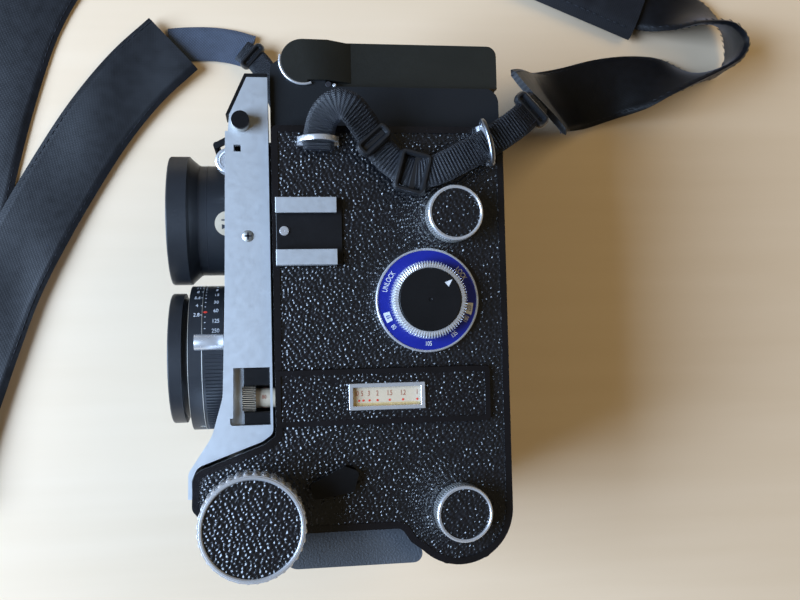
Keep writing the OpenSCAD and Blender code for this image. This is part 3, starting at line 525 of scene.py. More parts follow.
def leather_sheet(name, loops, level, body, seed, step=0.33, up=1):
    """A sheet of leathercloth over loops of an outline, its pebbles in relief. It is larger than its outline by
    SPARE, so that its edge is under the rim."""
    flat = np.array([p for loop in loops for p in loop])
    lo, hi = flat.min(0) - SPARE, flat.max(0) + SPARE
    xs, ys = np.arange(lo[0], hi[0] + step, step), np.arange(lo[1], hi[1] + step, step)
    gx, gy = np.meshgrid(xs, ys, indexing="ij")
    cx, cy = gx[:-1, :-1] + step / 2, gy[:-1, :-1] + step / 2
    keep = inside(cx, cy, loops)
    for dx, dy in ((SPARE, 0), (-SPARE, 0), (0, SPARE), (0, -SPARE)):
        keep |= inside(cx + dx, cy + dy, loops)
    h = level - up * RELIEF + up * RELIEF * pebbles(gx, gy, seed)
    number = -np.ones(gx.shape, int)
    used = np.zeros(gx.shape, bool)
    i, j = np.nonzero(keep)
    for a, b in ((0, 0), (1, 0), (1, 1), (0, 1)):
        used[i + a, j + b] = True
    number[used] = np.arange(used.sum())
    verts = np.stack([gx[used], gy[used], h[used]], 1)
    quads = np.stack([number[i, j], number[i + 1, j], number[i + 1, j + 1], number[i, j + 1]], 1)
    if up < 0:
        quads = quads[:, ::-1]
    # a skirt round the border
    n = len(verts)
    edges = {(a, b) for q in quads.tolist() for a, b in zip(q, q[1:] + q[:1])}
    border = [(a, b) for a, b in edges if (b, a) not in edges]
    skirt = {a: n + k for k, (a, b) in enumerate(border)}
    low = verts[[a for a, b in border]].copy()
    low[:, 2] = level - up * SHEET_THICK
    walls = [(b, a, skirt[a], skirt[b]) for a, b in border]
    return piece(name, np.concatenate([verts, low]).tolist(), quads.tolist() + walls, "leather", body,
                 "leatherette", angle=70)


def circle_loop(at, r):
    return [[(at[0] + r * cos(t), at[1] + r * sin(t)) for t in turns(96)]]


# ---- leathercloth on the camera ----

# where the lock dial, the two spool knobs and the focus shaft are
DIAL, BOSS, SPOOL_AT, SHAFT = (29, -1), (38.5, -69.9), (38, 27), (-28.5, -69.15)
SPOOL_TOP = 111.9


def leather_pieces():
    sheet = leather_sheet("leather_left", top_loops("left_leatherette"), LEFT_Z - 0.05, "body", 3)
    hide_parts("left_leatherette")
    sheet = leather_sheet("leather_right", top_loops("right_leatherette", -1), RIGHT_Z + 0.25, "body", 4,
                          0.6, up=-1)
    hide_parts("right_leatherette")
    panel = [[(-20.2, -24.6), (47.6, -24.6), (47.6, -39.2), (-20.2, -39.2)],
             [(2.3, -36.5), (27.7, -36.5), (27.7, -27.3), (2.3, -27.3)]]
    leather_sheet("leather_scale_cover", panel, LEFT_Z + 1.25, "body", 5)
    focus, upper, lower = circle_loop(SHAFT, 14.7), circle_loop(SPOOL_AT, 8.1), circle_loop(BOSS, 8.1)
    leather_sheet("leather_left_focus_knob", focus, 121.85, "focus_drive", 6)
    leather_sheet("leather_right_focus_knob", focus, 0.15, "focus_drive", 7, 0.6, up=-1)
    leather_sheet("leather_upper_spool_knob", upper, SPOOL_TOP, "upper_spool_knob", 8)
    leather_sheet("leather_lower_spool_knob", lower, SPOOL_TOP, "lower_spool_knob", 9)


# ---- rims, knurls and rings ----

def ring_z(b, at, r0, r1, z0, z1, ease=0.25, segs=128):
    """A ring about Z whose top edges are eased."""
    e = min(ease, (r1 - r0) / 3, abs(z1 - z0) / 3)
    return b.lathe([(r0, z0), (r1, z0), (r1, z1 - e), (r1 - e, z1), (r0 + e, z1), (r0, z1 - e)],
                   about_z(at), segs)


def ring_x(b, y, r0, r1, x0, x1, ease=0.25, segs=160):
    """A ring about an axis along X, at the height y, with all its edges eased."""
    e = min(ease, (r1 - r0) / 3, abs(x1 - x0) / 3)
    return b.lathe([(r0, x0 + e), (r0 + e, x0), (r1 - e, x0), (r1, x0 + e), (r1, x1 - e), (r1 - e, x1),
                    (r0 + e, x1), (r0, x1 - e)], about_x(y, MID_Z), segs)


def knurl_z(b, at, r, depth, z0, z1, teeth, inner):
    """A ring with pointed teeth round it and a sloped top that ends at the radius inner. It is open inside."""
    n = teeth * 2
    verts, faces = [], []
    for k, a in enumerate(turns(n)):
        tip = r if k % 2 else r - depth
        for rr, z in ((tip, z0), (tip, z1 - 1.0), (tip - 0.7, z1 - 0.2), (inner + 0.25, z1), (inner, z1 - 0.3)):
            verts.append((at[0] + rr * cos(a), at[1] + rr * sin(a), z))
    for k in range(n):
        for i in range(4):
            a, c = k * 5 + i, ((k + 1) % n) * 5 + i
            faces.append((a, c, c + 1, a + 1))
    return b.add(verts, faces)


def knob_pieces():
    for side, z0, z1 in (("left", 121.3, 122.25), ("right", -0.25, 0.7)):
        b = ring_z(Build(), SHAFT, 14.65, 15.85, z0, z1, 0.35)
        b.piece(side + "_knob_ring", "chrome", "focus_drive", "bright_chrome")
    for side, at, body in (("upper", SPOOL_AT, "upper_spool_knob"), ("lower", BOSS, "lower_spool_knob")):
        b = ring_z(Build(), at, 8.05, 9.0, 110.9, 112.15, 0.3)
        b.piece(side + "_spool_ring", "chrome", body, "bright_chrome")
        b = knurl_z(Build(), at, 9.15, 0.35, 104.6, 111.0, 72, 8.4)
        b.piece(side + "_spool_knurl", "satin", body, "satin_metal", smooth=False)


DIAL_FACE, DIAL_SQUEEZE = 105.8, 0.72
POINTER_TURN, POINTER_TIP, POINTER_FOOT, POINTER_HALF = 41, 8.6 + 1.1, 8.6 - 1.4, 0.95


def dial_pieces():
    b = ring_z(Build(), DIAL, 16.35, 17.05, 103.9, 106.15, 0.25)
    b.piece("dial_outer_ring", "chrome", "body", "bright_chrome")
    b = knurl_z(Build(), DIAL, 12.7, 0.75, 106.25, 111.2, 84, 10.15)
    b.piece("dial_knurl", "chrome", "lock_dial", "bright_chrome", smooth=False)
    b = ring_z(Build(), DIAL, 0.4, 10.1, 110.6, 111.55, 0.2)
    b.piece("dial_disc", "black", "lock_dial", "black_paint")
    t = radians(POINTER_TURN)
    tip = (DIAL[0] + POINTER_TIP * cos(t), DIAL[1] + POINTER_TIP * sin(t))
    side = (-sin(t) * POINTER_HALF, cos(t) * POINTER_HALF)
    foot = (DIAL[0] + POINTER_FOOT * cos(t), DIAL[1] + POINTER_FOOT * sin(t))
    flat = [tip, (foot[0] - side[0], foot[1] - side[1]), (foot[0] + side[0], foot[1] + side[1])]
    b = Build().add([(*p, 111.5) for p in flat] + [(*p, 111.65) for p in flat],
                    [(3, 5, 4), (0, 1, 4, 3), (1, 2, 5, 4), (2, 0, 3, 5)])
    b.piece("dial_pointer", "white", "lock_dial", "dial_blue", smooth=False)
    b = Build()
    on_disc(b, "UNLOCK", 1.75, DIAL, 14.35, 154, DIAL_FACE, DIAL_SQUEEZE)
    on_disc(b, "LOCK", 1.75, DIAL, 14.35, 37, DIAL_FACE, DIAL_SQUEEZE)
    for text, turn in (("80", -143), ("105", -90), ("135", -53), ("180", -27)):
        on_disc(b, text, 1.55, DIAL, 14.3, turn, DIAL_FACE, DIAL_SQUEEZE, inward=True)
    for turn, span in ((-158, 13), (-12, 15)):
        b.lathe([(13.2, 105.78), (15.3, 105.78), (15.3, 105.9), (13.2, 105.9)], about_z(DIAL), 12,
                start=turn - span / 2, sweep=span)
    b.piece("dial_marks", "white", "body", "dial_blue", smooth=False)
    b = Build()
    for text, turn in (("65", -158), ("250", -12)):
        on_disc(b, text, 1.35, DIAL, 14.2, turn, 105.9, DIAL_SQUEEZE, inward=True)
    b.piece("dial_block_numbers", "blue", "body", "dial_blue", smooth=False)


def shoe_pieces():
    rails = (("upper", 27.75, 32.75, 32.6, 32.8), ("lower", 10.95, 15.95, 10.9, 11.1))
    for name, y0, y1, wall0, wall1 in rails:
        b = Build().box((-19.9, y0, 106.75), (-0.35, y1, 108.1))
        b.box((-19.9, wall0, 104.1), (-0.35, wall1, 106.8))
        rail = b.piece("shoe_%s_rail" % name, "silver", "body", "satin_metal", smooth=False)
        soften(rail, 0.25)
    b = Build().box((-19.7, 12.6, 104.4), (1.5, 31.1, 104.72))
    floor = b.piece("shoe_floor", "black", "body", "black_paint", smooth=False)
    soften(floor, 0.1)
    b = ring_z(Build(), (-17.2, 22.2), 0.02, 1.5, 104.6, 105.3, 0.3, 40)
    b.piece("shoe_screw_head", "chrome", "body", "bright_chrome")


EDGE_WIDTHS = {
    "left_side_cover": 0.45, "right_side_cover": 0.45, "scale_cover": 0.4, "hood_frame": 0.5,
    "hood_lid": 0.5, "base_block": 0.6, "front_standard": 0.35, "standard_top_cover": 0.3,
    "accessory_shoe": 0.2, "scale_window_frame": 0.2, "focus_lock_lever": 0.4, "bail_latch": 0.3,
    "film_crank": 0.4, "back_door": 0.5, "lock_dial_knob": 0.25, "cocking_lever": 0.3, "strap_lugs": 0.25,
}


def soften(obj, width):
    """Rounds the sharp edges over a width in millimetres."""
    bevel = obj.modifiers.new("edge", "BEVEL")
    bevel.width, bevel.segments = width * MM, 2
    bevel.limit_method, bevel.angle_limit = "ANGLE", radians(35)
    bevel.harden_normals = False
    return obj


def soften_cad():
    """CAD nodes get worn, light-catching edges; the weld joins the corners first."""
    for name, width in EDGE_WIDTHS.items():
        obj = NODES[name]
        weld = obj.modifiers.new("weld", "WELD")
        weld.merge_threshold = 0.00001
        soften(obj, width)


# ---- lenses ----

TAKE_Y, VIEW_Y = -18.65, 31.35
SHUTTER_R, VIEW_R = 26, 20  # outer radii of the shutter rings and of the viewing lens
DISC_X, DISC_R, DISC_TURN = -36.4, 4.3, radians(-10)


def cross_screw(b_metal, b_dark, place, r):
    """A cross-head screw: place turns (side, up, out) into a point. Its cross is flat black bars on the head:
    painted shade standing in for the recessed slots.
    """
    b_metal.lathe([(0.01, -0.3), (r, -0.3), (r, 0.1), (r - 0.3, 0.3), (0.01, 0.34)],
                  lambda rr, h, a: place(rr * cos(a), rr * sin(a), h), 32, close=False)
    for w, l in ((0.16, 0.62), (0.62, 0.16)):
        b_dark.box((-w * r, -l * r, 0.3), (w * r, l * r, 0.38), place)


def lens_pieces():
    place_x = about_x(TAKE_Y, MID_Z)

    def wrapped(turn):
        """Puts (x, distance round the ring, height) on the shutter rings at a turn in degrees."""
        return lambda x, t, h: place_x(SHUTTER_R + h, x, radians(turn) + t / SHUTTER_R)

    white, red, chrome, dark = Build(), Build(), Build(), Build()
    for text, phi in (("2.8", 35), ("4", 44.5), ("5.6", 54), ("8", 63.5), ("11", 73), ("16", 82.5)):
        on_ring(white, text, 1.55, -47.2, phi, SHUTTER_R, TAKE_Y)
    for text, phi in (("250", 21), ("125", 29.25), ("60", 38.75), ("30", 48), ("15", 58), ("8", 67), ("4", 75)):
        on_ring(white, text, 1.55, -40.7, phi, SHUTTER_R, TAKE_Y)
    for phi in (35, 44.5, 54, 63.5, 73):
        white.box((-45.9, -0.14, -SINK), (-45.35, 0.14, 0.08 - SINK), wrapped(phi))
    for phi in range(23, 84, 5):
        white.box((-44.6, -0.12, -SINK), (-44.1, 0.12, 0.08 - SINK), wrapped(phi))
    diamond = [(-45.1, 0), (-44.3, 0.5), (-43.5, 0), (-44.3, -0.5)]
    red.add([wrapped(37.5)(x, t, h) for h in (-SINK, 0.1) for x, t in diamond],
            [(4, 5, 6, 7), (0, 1, 5, 4), (1, 2, 6, 5), (2, 3, 7, 6), (3, 0, 4, 7)])
    white.piece("shutter_marks", "white", "speed_ring", "black_paint", smooth=False)
    red.piece("shutter_index", "red", "speed_ring", "black_paint", smooth=False)

    ribs, half = Build(), 0.42
    profile = [(-half, -0.1), (-half * 0.6, 0.42), (half * 0.6, 0.42), (half, -0.1)]
    for k in range(28):
        rib = wrapped(2 - 2.75 * k)
        ribs.add([rib(x, t, h) for x in (-44.2, -38.5) for t, h in profile],
                 [(0, 1, 5, 4), (1, 2, 6, 5), (2, 3, 7, 6), (3, 2, 1, 0), (4, 5, 6, 7)])
    ribs.piece("speed_ring_ribs", "barrel", "speed_ring", "black_paint", smooth=False)

    ring_x(chrome, TAKE_Y, 25.9, 26.14, -45.42, -45.12, 0.08)
    ring_x(chrome, TAKE_Y, 24.9, 25.9, -50.05, -49.85, 0.08)
    screw = wrapped(-68.75)
    cross_screw(chrome, dark, lambda u, v, h: screw(-46.4 + u, v, h - 0.2), 1.05)
    chrome.piece("taking_lens_lines", "satin", "aperture_ring", "satin_metal")
    # the black cross bars are painted shade for the screw's recessed slots
    dark.piece("taking_lens_slots", "ink", "aperture_ring", "black_paint")

    # coated front cells and their retaining rings
    for name, y, r in (("viewing", VIEW_Y, 17.3), ("taking", TAKE_Y, 15.9)):
        b = Build()
        for x, rr in ((-52.9, 21.2), (-52.4, 19.8), (-51.9, 18.6)):
            ring_x(b, y, rr - 1.5, rr, x - 0.25, x + 0.3, 0.12)
        ring_x(b, y, r - 1.3, r + 0.1, -51.7, -51.2, 0.15)
        b.piece(name + "_lens_ridges", "black", "front_standard", "black_paint")
        b = Build()
        for k in range(4):
            x = -56.4 + 0.8 * k
            ring_x(b, y, 22.3, 22.62, x - 0.12, x + 0.12, 0.05)
        b.piece(name + "_filter_thread", "black", "front_standard", "black_paint")

    # the viewing lens: groove lines, drawn as dark rings that are painted shade in the grooves, cream disc with
    # its bar and triangle
    b = ring_x(Build(), VIEW_Y, 19.9, 20.08, -43.75, -43.5, 0.06)
    ring_x(b, VIEW_Y, 19.9, 20.16, -46.6, -46.35, 0.06)
    b.piece("viewing_lens_groove", "ink", "front_standard", "black_paint")
    put = about_x(VIEW_Y, MID_Z)
    flat = lambda x, t, h: put(VIEW_R + h, x, DISC_TURN + t / VIEW_R)
    rim = [(DISC_X + DISC_R * cos(t), DISC_R * sin(t)) for t in turns(40)]
    rim = [(x, t) for x, t in rim if x < -35.9]
    m = len(rim)
    faces = [(2 * k, 2 * ((k + 1) % m), 2 * ((k + 1) % m) + 1, 2 * k + 1) for k in range(m)]
    faces += [(2 * k + 1, 2 * ((k + 1) % m) + 1, 2 * m) for k in range(m)]
    disc = Build().add([flat(x, t, h) for x, t in rim for h in (0.02, 0.22)] + [flat(DISC_X, 0, 0.25)], faces)
    disc.piece("viewing_lens_disc", "cream", "front_standard", "scale_paint", smooth=False)
    marks = Build().box((-38.4, 1.0, 0.26), (-36.2, 1.45, 0.34), flat)
    marks.add([flat(x, t, h) for h in (0.34, 0.26) for x, t in ((-38.3, -1.9), (-38.3, -0.2), (-36.2, -1.0))],
              [(0, 1, 2), (0, 3, 4, 1), (1, 4, 5, 2), (2, 5, 3, 0)])
    marks.piece("viewing_lens_disc_marks", "ink", "front_standard", "black_paint", smooth=False)
    terminal = about_z((-35.2, 47.2))
    profile = [(2.6, 93.6), (4.2, 93.6), (4.2, 94.1), (3.9, 94.35), (2.9, 94.35), (2.6, 94.1)]
    rim = Build().lathe(profile, terminal, 48)
    rim.piece("sync_terminal_rim", "chrome", "front_standard", "bright_chrome")
    face = Build().lathe([(0.01, 94.05), (1.1, 94.05), (1.1, 93.5), (2.65, 93.5)], terminal, 32, close=False)
    face.piece("sync_terminal_face", "satin", "front_standard", "satin_metal")


# ---- front standard, scale window and hood ----

ROD_Y, ROD_Z = -32, 93
SCALE_FACE = 104.5
LID_PIVOT = (-9.9, 80.5)


def standard_pieces():
    chrome, dark = Build(), Build()
    cross_screw(chrome, dark, lambda u, v, h: (-28.9 + u, 21.3 + v, 99.0 + h), 1.9)
    chrome.piece("standard_screw", "satin", "front_standard", "satin_metal")
    # the black cross bars are painted shade for the screw's recessed slots
    dark.piece("standard_screw_cross", "ink", "front_standard", "black_paint", smooth=False)

    # the window over the lens scale: curved bright wall, black lining, knurled wheel
    wall, rows = Build(), 10
    for k in range(rows + 1):
        t = k / rows * pi / 2
        wall.v += [(-35.5 + 4.3 * (1 - cos(t)), y, 98.9 - 2.7 * sin(t)) for y in (-21.8, -40.3)]
    wall.f += [(2 * k, 2 * k + 2, 2 * k + 3, 2 * k + 1) for k in range(rows)]
    wall.piece("scale_recess_wall", "silver", "front_standard", "satin_metal")
    b = Build().box((-31.3, -21.9, 95.6), (-22.4, -27.6, 97.8))
    b.box((-31.3, -40.3, 95.6), (-22.4, -36.2, 97.8))
    soften(b.piece("scale_recess_lining", "black", "front_standard", "black_paint", smooth=False), 0.3)
    put = about_x(ROD_Y, ROD_Z)
    wheel, edge, numbers = Build(), Build(), Build()
    n = 90
    for k, a in enumerate(turns(n)):
        wheel.v += [put(5.05 if k % 2 else 4.85, x, a) for x in (-31.7, -27.3)]
    wheel.f += [(2 * k, 2 * ((k + 1) % n), 2 * ((k + 1) % n) + 1, 2 * k + 1) for k in range(n)]
    wheel.piece("lens_scale_wheel_knurl", "black", "scale_rod", "black_paint", smooth=False)
    for x in (-31.6, -27.4):
        for a in turns(n)[::3]:
            edge.box((x - 0.2, -0.13, 0), (x + 0.2, 0.13, 0.12),
                     lambda u, t, h, a=a: put(5.02 + h, u, a + t / 5))
    edge.piece("lens_scale_wheel_dots", "satin", "scale_rod", "satin_metal", smooth=False)
    for k, text in enumerate(("80", "105", "135", "180")):
        on_ring(numbers, text, 1.3, -24.6, 90 * k + 8, 3.2, ROD_Y, 0.8, z=ROD_Z)
    numbers.piece("lens_scale_rod_numbers", "brown", "scale_rod", "scale_paint", smooth=False)

    # scale window: numbers, dots and the strip below them
    text, dots = Build(), Build()
    labels = ("10", 5.1), ("5", 6.9), ("3", 9.1), ("2", 11.9), ("1.5", 15.9), ("1.2", 20.3), ("1", 25.0)
    for label, x in labels:
        verts, faces = lettering(label, 1.75, 0.08)
        text.add([(x + a * 0.62, -31.0 + c, SCALE_FACE + h) for a, c, h in verts], faces)
    dot = [(0.01, SCALE_FACE + 0.08), (0.36, SCALE_FACE + 0.08), (0.36, SCALE_FACE)]
    for x in (5.9, 7.3, 9.3, 11.9, 15.9, 20.3, 25.0):
        dots.lathe(dot, about_z((x, -33.2)), 20, close=False)
    text.piece("scale_numbers", "brown", "body", "scale_paint", smooth=False)
    dots.piece("scale_dots", "red", "body", "scale_paint", smooth=False)
    b = Build().box((3.95, -34.9, SCALE_FACE), (26.05, -34.0, SCALE_FACE + 0.06))
    b.piece("scale_strip", "ochre", "body", "scale_paint", smooth=False)

    # bail knob: bright side under the black top
    b = ring_z(Build(), (-30.7, 58.7), 2.4, 3.0, 99.2, 102.6, 0.1, 48)
    b.piece("bail_knob_side", "satin", "bail", "satin_metal")


def hood_pieces():
    # the lid's round end lies over the frame's ear, with a bright wire round its lower side
    b = Build()
    px, py = LID_PIVOT
    outline = [(px + 7.5 * cos(t), py + 7.5 * sin(t)) for t in np.radians(np.arange(90, 281, 5))]
    outline += [(-8.2, 74.1), (-1.6, 74.1), (-1.6, 87.9)]
    n = len(outline)
    b.v = [(x, y, z) for z in (96.1, 97.1) for x, y in outline]
    b.v += [(6.5, y, z) for z in (92.6, 93.1) for y in (74.1, 87.9)]
    b.f = [(k, (k + 1) % n, (k + 1) % n + n, k + n) for k in range(n) if k != n - 2]
    b.f += [tuple(range(n))[::-1], tuple(range(n, 2 * n))]
    b.f += [(2 * n - 2, 2 * n + 2, 2 * n + 3, 2 * n - 1), (n - 1, 2 * n + 1, 2 * n, n - 2),
            (n - 2, 2 * n, 2 * n + 2, 2 * n - 2), (2 * n + 1, n - 1, 2 * n - 1, 2 * n + 3)]
    soften(b.piece("hood_lid_end", "lid", "hood_lid", "hood_paint"), 0.4)
    b = Build()
    n, m, wire = 56, 10, 0.45
    for i in range(n + 1):
        a = radians(165 + 125 * i / n)
        for t in turns(m):
            r = 7.75 + wire * cos(t)
            b.v.append((px + r * cos(a), py + r * sin(a), 96.75 + wire * sin(t)))
    b.f = net(n + 1, m)
    b.piece("hood_lid_wire", "chrome", "body", "bright_chrome")
    b = ring_z(Build(), (0.6, 72.6), 0.02, 0.6, 95.9, 96.4, 0.2, 24)
    b.piece("hood_rivet", "chrome", "body", "bright_chrome")
    # a flat black disc for the hole in the frame: painted shade of the hole
    b = ring_z(Build(), (-1.4, 72.9), 0.02, 1.0, 95.9, 96.15, 0.1, 24)
    b.piece("hood_hole", "ink", "body", "black_paint")


SCALLOPS, SCALLOP_DEPTH, FOCUS_KNOB_R = 36, 0.75, 16.45


def knob_scallops():
    """Scalloped sides of the focus knobs, as sleeves round them."""
    for side, z0, z1 in (("left", 111.2, 121.6), ("right", 0.4, 10.8)):
        b = Build()
        n = SCALLOPS * 8
        for z, cut in ((z0, 0.3), (z0 + 0.5, 0), (z1 - 0.6, 0), (z1, 0.6)):
            for a in turns(n):
                r = FOCUS_KNOB_R - cut - SCALLOP_DEPTH * abs(cos(SCALLOPS / 2 * a)) ** 3
                b.v.append((SHAFT[0] + r * cos(a), SHAFT[1] + r * sin(a), z))
        b.f = net(4, n)
        b.piece(side + "_knob_scallops", "chrome", "focus_drive", "bright_chrome")


# ---- strap ----

def metres(rows):
    """Route rows with their places turned from millimetres to metres."""
    return [(x / 1000, y / 1000, z / 1000, heading, roll) for x, y, z, heading, roll in rows]


# The routes of the CAD model: x, y, z in millimetres, heading and roll in degrees.
LEFT_WEBBING = metres([
    (-5.7, 48, 107.4, 90, 0), (-5.5, 53, 107.6, 88, 0), (-4, 58, 110.5, 75, 0), (-0.5, 61, 114, 30, 0),
    (4, 60, 115.5, -30, 0), (8.5, 55.5, 112.5, -48, 0), (12, 51, 109, -48, 0), (18, 44.5, 107.6, -40, 0),
    (24.5, 40.6, 108.6, -15, 0), (31, 40.9, 109.4, 12, 0), (37.5, 43.6, 109.8, 28, 0), (44, 47, 109.4, 30, 0),
    (50.5, 50.8, 108, 32, 0), (57, 55, 107.4, 36, 0), (63, 59.5, 105.8, 40, 0), (68, 64.4, 101, 43, 0),
    (72.5, 68.4, 94, 42, 0)])
RIGHT_WEBBING = metres([
    (-5.7, 47.5, 14.4, 90, 0), (-5.9, 54, 14, 92, 0), (-8, 64, 14, 104, 0), (-12, 76, 14.4, 110, 0),
    (-16.5, 88, 14, 112, 0), (-21, 99, 11, 116, 0), (-26, 108, 7.4, 130, 0), (-33, 113.8, 4.4, 158, 0)])
TAB = metres([
    (-64, 116.4, 1.1, 4, 0), (-56, 117.2, 1.1, 4, 0), (-46, 117.4, 1.1, 0, 0), (-37, 116.2, 1.6, -10, 0),
    (-29, 113.8, 2.4, -20, 0)])
STRAP = metres([
    (72, 68, 95, 40, 0), (79, 73.6, 77, 38, 0), (87, 79.6, 56, 36, 0), (95, 85, 34, 33, 0),
    (104, 90, 16, 29, 0), (117, 94.6, 6, 24, 0), (133, 99.6, 4, 14, 8), (149, 102, 8, 6, 25),
    (163, 102.6, 14, 4, 55), (176, 103.4, 16.6, 10, 80), (186, 107, 17, 35, 92), (191, 114.5, 17, 80, 98),
    (188, 123.5, 17, 120, 108), (179, 130.5, 14, 145, 128), (167, 136, 8.6, 156, 155), (152, 142, 5, 158, 180),
    (128, 151.5, 5, 158, 180), (104, 161, 5, 158, 180), (76, 172, 5, 160, 180), (44, 181.5, 5, 165, 180),
    (8, 187.5, 5, 176, 180), (-28, 187.5, 5, 185, 180), (-62, 181, 5, 198, 180), (-90, 168, 4.4, 212, 180),
    (-110, 150, 2, 230, 180), (-123, 128, 1.3, 245, 180), (-132, 102, 1.3, 252, 180), (-140, 72, 1.3, 256, 180),
    (-147, 40, 1.3, 258, 180), (-153, 5, 1.3, 261, 180), (-158, -30, 1.3, 264, 180), (-161, -60, 1.3, 266, 180),
    (-162.5, -76, 2, 268, 180), (-163, -81, 5, 86, 0), (-161, -74, 7.8, 82, 0), (-156, -58, 6.6, 76, 0),
    (-148, -34, 5, 72, 0), (-140, -10, 4.6, 72, 0), (-132, 12, 4.4, 68, 0), (-122, 33, 4, 62, 0),
    (-109, 57, 3, 57, 0), (-94, 81, 3.2, 54, 0), (-78, 101, 4, 49, 0), (-62, 116, 5, 42, 0)])
PAD_FIRST, PAD_LAST = 15, 23  # the rows of the strap that the pad covers


def smooth_route(rows, step):
    """Rows of a route, made dense on a Catmull-Rom curve: points, width and up directions, and the distance
    along. The width directions are smoothed as vectors, so a fold turns without a twist."""
    rows = np.array(rows, float)
    turn, roll = np.radians(rows[:, 3] - 90), np.radians(rows[:, 4])
    rows = np.column_stack([rows[:, :3], np.cos(roll) * np.cos(turn), np.cos(roll) * np.sin(turn),
                            np.sin(roll)])
    p = np.vstack([2 * rows[0] - rows[1], rows, 2 * rows[-1] - rows[-2]])
    out = []
    for i in range(1, len(p) - 2):
        gap = np.linalg.norm(p[i + 1, :3] - p[i, :3])
        n = max(2, int(gap / step))
        t = np.arange(n)[:, None] / n
        a, b, c, d = p[i - 1], p[i], p[i + 1], p[i + 2]
        out.append(0.5 * (2 * b + (c - a) * t + (2 * a - 5 * b + 4 * c - d) * t ** 2
                          + (3 * b - a - 3 * c + d) * t ** 3))
    dense = np.vstack(out + [rows[-1:]])
    point, side = dense[:, :3], dense[:, 3:]
    along = np.gradient(point, axis=0)
    along /= np.linalg.norm(along, axis=1)[:, None]
    side = side - along * (side * along).sum(1)[:, None]
    side /= np.linalg.norm(side, axis=1)[:, None]
    up = np.cross(side, along)
    dist = np.concatenate([[0], np.cumsum(np.linalg.norm(np.diff(point, axis=0), axis=1))])
    return point, side, up, dist


def band(name, rows, width, thick, look, slot, step, shape=None, across=14, lift=None):
    """A flat band along a route. u is -1 at one edge and 1 at the other. shape(distance, u) scales the
    thickness, and lift(distance, u, face) adds to the height of each face."""
    point, side, up, dist = smooth_route(rows, step)
    us = np.linspace(-1, 1, across)
    rings = []
    for k in range(len(point)):
        ring = []
        for face, order in ((1, us), (-1, us[::-1])):
            for u in order:
                edge = sqrt(max(0, 1 - abs(u) ** 8))
                h = thick / 2 * (shape(dist[k], u) if shape else 1) * edge
                if lift:
                    h += lift(dist[k], u, face) * edge
                ring.append(point[k] + side[k] * u * width / 2 + up[k] * face * h)
        rings.append(ring)
    n, m = len(rings), len(rings[0])
    verts = np.array(rings).reshape(-1, 3) / MM
    faces = net(n, m) + [tuple(range(m))[::-1], tuple(range((n - 1) * m, n * m))]
    wide = np.concatenate([us, us[::-1]]) * width / 2
    uv = np.stack([np.repeat(dist, m), np.tile(wide, n)], 1)
    obj = piece(name, verts.tolist(), faces, look, "body", slot, angle=60, uv=uv)
    return obj, point.tolist(), float(dist[-1])


def stitches(name, rows, lines, pitch, size, thick, start=0.0, end=1.0, slot="webbing", faces=(1,)):
    """Sewn stitches on a band: short rounded threads at the given distances off its middle, from start to
    end as shares of its length."""
    point, side, up, dist = smooth_route(rows, 0.001)
    b = Build()
    at = dist[-1] * start
    while at < dist[-1] * end:
        k = min(int(np.searchsorted(dist, at)), len(dist) - 2)
        along = point[k + 1] - point[k]
        along /= np.linalg.norm(along)
        for off in lines:
            for face in faces:
                mid = point[k] + side[k] * off + up[k] * face * thick / 2
                ring = []
                for i in range(5):
                    t = (i / 4 * 2 - 1)
                    r = size * sqrt(max(0.05, 1 - t * t * 0.9))
                    for j in range(4):
                        a = j * pi / 2
                        ring.append((mid + along * t * pitch * 0.38 + side[k] * r * cos(a)
                                     + up[k] * face * r * (0.55 + 0.8 * sin(a))) / MM)
                b.add(ring, net(5, 4))
        at += pitch
    return b.piece(name, "thread", "body", slot)


def slide_frame(name, at, heading, size, bar=0):
    """A strap slide: a rounded frame with a bar across that the web goes round. size is the length along the
    strap, the width and the height, in millimetres, and bar is how far the bar is off the middle."""
    length, wide, high = size
    turn = radians(heading)
    along = np.array([cos(turn), sin(turn), 0])
    side = np.array([sin(turn), -cos(turn), 0])
    up = np.cross(side, along)
    place = lambda x, y, z: tuple(np.array(at) + along * x + side * y + up * z)
    thick, corner, loop, m = 1.0, 2.2, [], 10
    for cx, cy, start in ((1, 1, 0), (-1, 1, 90), (-1, -1, 180), (1, -1, 270)):
        for k in range(6):
            t = radians(start + 18 * k)
            loop.append(np.array([cx * (length / 2 - corner) + (corner - thick) * cos(t),
                                  cy * (wide / 2 - corner) + (corner - thick) * sin(t), 0.6]))
    b = Build()
    for i, p in enumerate(loop):
        ahead = loop[(i + 1) % len(loop)] - loop[i - 1]
        ahead /= np.linalg.norm(ahead)
        out = np.cross(ahead, [0, 0, 1])
        for t in turns(m):
            q = p + out * thick * cos(t) + np.array([0, 0, 1]) * (high / 2 - 0.4) * sin(t)
            b.v.append(place(*q))
    b.f += net(len(loop), m, wrap=True)
    b.box((bar - 0.9, -wide / 2 + 0.8, -0.9), (bar + 0.9, wide / 2 - 0.8, 0.9), place)
    return b.piece(name, "buckle", "body", "buckle")


def webbing_ring():
    """The flattened wire ring at the camera's back corner that the webbing runs through."""
    b = Build()
    n, m, wire = 48, 10, 0.75
    turn = radians(12)
    for a in turns(n):
        mid = np.array([0, 7.4 * cos(a), 3.6 * sin(a)])
        out = np.array([0, cos(a), sin(a)])
        for t in turns(m):
            x, y, z = mid + out * wire * cos(t) + np.array([1, 0, 0]) * wire * sin(t)
            b.v.append((49.6 + x * cos(turn) - y * sin(turn),
                        50.6 + x * sin(turn) + y * cos(turn), 109.3 + z))
    b.f += net(n, m, wrap=True)
    return b.piece("strap_ring", "steel_wire", "body", "bright_chrome")


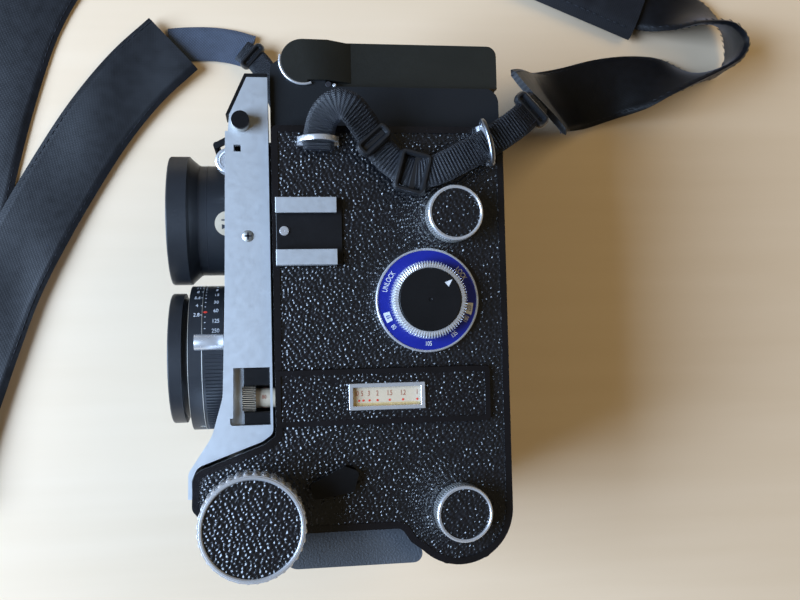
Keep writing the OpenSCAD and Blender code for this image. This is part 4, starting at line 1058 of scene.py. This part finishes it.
RIB_PITCH, RIB_HEIGHT = 0.0011, 0.00016
QUILT_PITCH, QUILT_DEPTH = 0.045, 0.0009


def ribs(d, u, face):
    """Ribs across the narrow webbing."""
    return RIB_HEIGHT * cos(2 * pi * d / RIB_PITCH) * (1 - 0.5 * abs(u) ** 4)


def crown(d, u):
    """The pad's thickness: full in the middle, thin at the edges, drawn in along its seams."""
    return 0.34 + 0.66 * sqrt(max(0, 1 - abs(u) ** 3.2)) - 0.10 * exp(-((abs(u) - 0.82) / 0.05) ** 2)


def quilt(d, u, face):
    """Sewn channels across the pad."""
    return -QUILT_DEPTH * exp(-((d % QUILT_PITCH - QUILT_PITCH / 2) / 0.0022) ** 2) * (1 - u * u)


def strap_pieces():
    webbing = dict(width=0.010, thick=0.0014, look="webbing", slot="webbing", step=0.00027, across=12,
                   lift=ribs)
    left, line_l, len_l = band("strap_webbing_left", LEFT_WEBBING, **webbing)
    right, line_r, len_r = band("strap_webbing_right", RIGHT_WEBBING, **webbing)
    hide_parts("strap_webbing")
    tab = band("strap_suede_tab", TAB, 0.015, 0.0018, "suede", "tab_suede", 0.0015)[0]
    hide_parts("strap_tab")
    phase = np.random.default_rng(12).random(6) * 6.28

    def crumple(d, u, face):
        """Soft waves of the wide band, and its hems."""
        wave = sin(d / 0.021 + phase[0]) * sin(u * 2.1 + phase[1] + d / 0.045) * 0.0005
        wave += sin(d / 0.0083 + phase[2] + 1.7 * u) * 0.00018
        hem = 0.00025 * exp(-((abs(u) - 0.9) / 0.06) ** 2)
        return face * wave * (1 - u * u * 0.3) + hem

    neck, line_n, len_n = band("neck_strap_band", STRAP, 0.030, 0.0022, "strap", "webbing", 0.0024,
                               across=18, lift=crumple)
    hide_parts("neck_strap")
    rows = STRAP[PAD_FIRST:PAD_LAST + 1]
    pad = band("neck_pad_cushion", rows, 0.042, 0.0088, "pad", "pad_cloth", 0.0022,
               shape=crown, across=26, lift=quilt)[0]
    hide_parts("neck_pad")
    seam = stitches("neck_strap_stitches", STRAP, (-0.0132, 0.0132), 0.0032, 0.00022, 0.0017, faces=(1, -1))
    box = stitches("webbing_end_stitches", LEFT_WEBBING, (-0.0035, 0.0, 0.0035), 0.0016, 0.00022, 0.0014, 0.84)
    stitches("neck_pad_stitches", rows, (-0.0172, 0.0172), 0.0034, 0.0003, 0.0064, 0.02, 0.98,
             slot="pad_cloth", faces=(1, -1))
    keeper = slide_frame("strap_keeper", (12, 51, 109), -48, (6, 12.6, 4.6))
    glide = slide_frame("strap_tri_glide", (24.5, 40.6, 108.6), -15, (11, 14.4, 4.4), 0.8)
    adjuster = slide_frame("strap_adjuster", (67, 63.4, 102), 42, (5.2, 14.4, 5.0))
    right_slide = slide_frame("strap_right_slide", (-28.4, 110.6, 6), 140, (5, 13.4, 4.4))
    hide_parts("strap_buckles")
    ring = webbing_ring()


make_camera()
make_stage()
dress_cad()
soften_cad()
leather_pieces()
knob_pieces()
knob_scallops()
dial_pieces()
shoe_pieces()
lens_pieces()
standard_pieces()
hood_pieces()
strap_pieces()
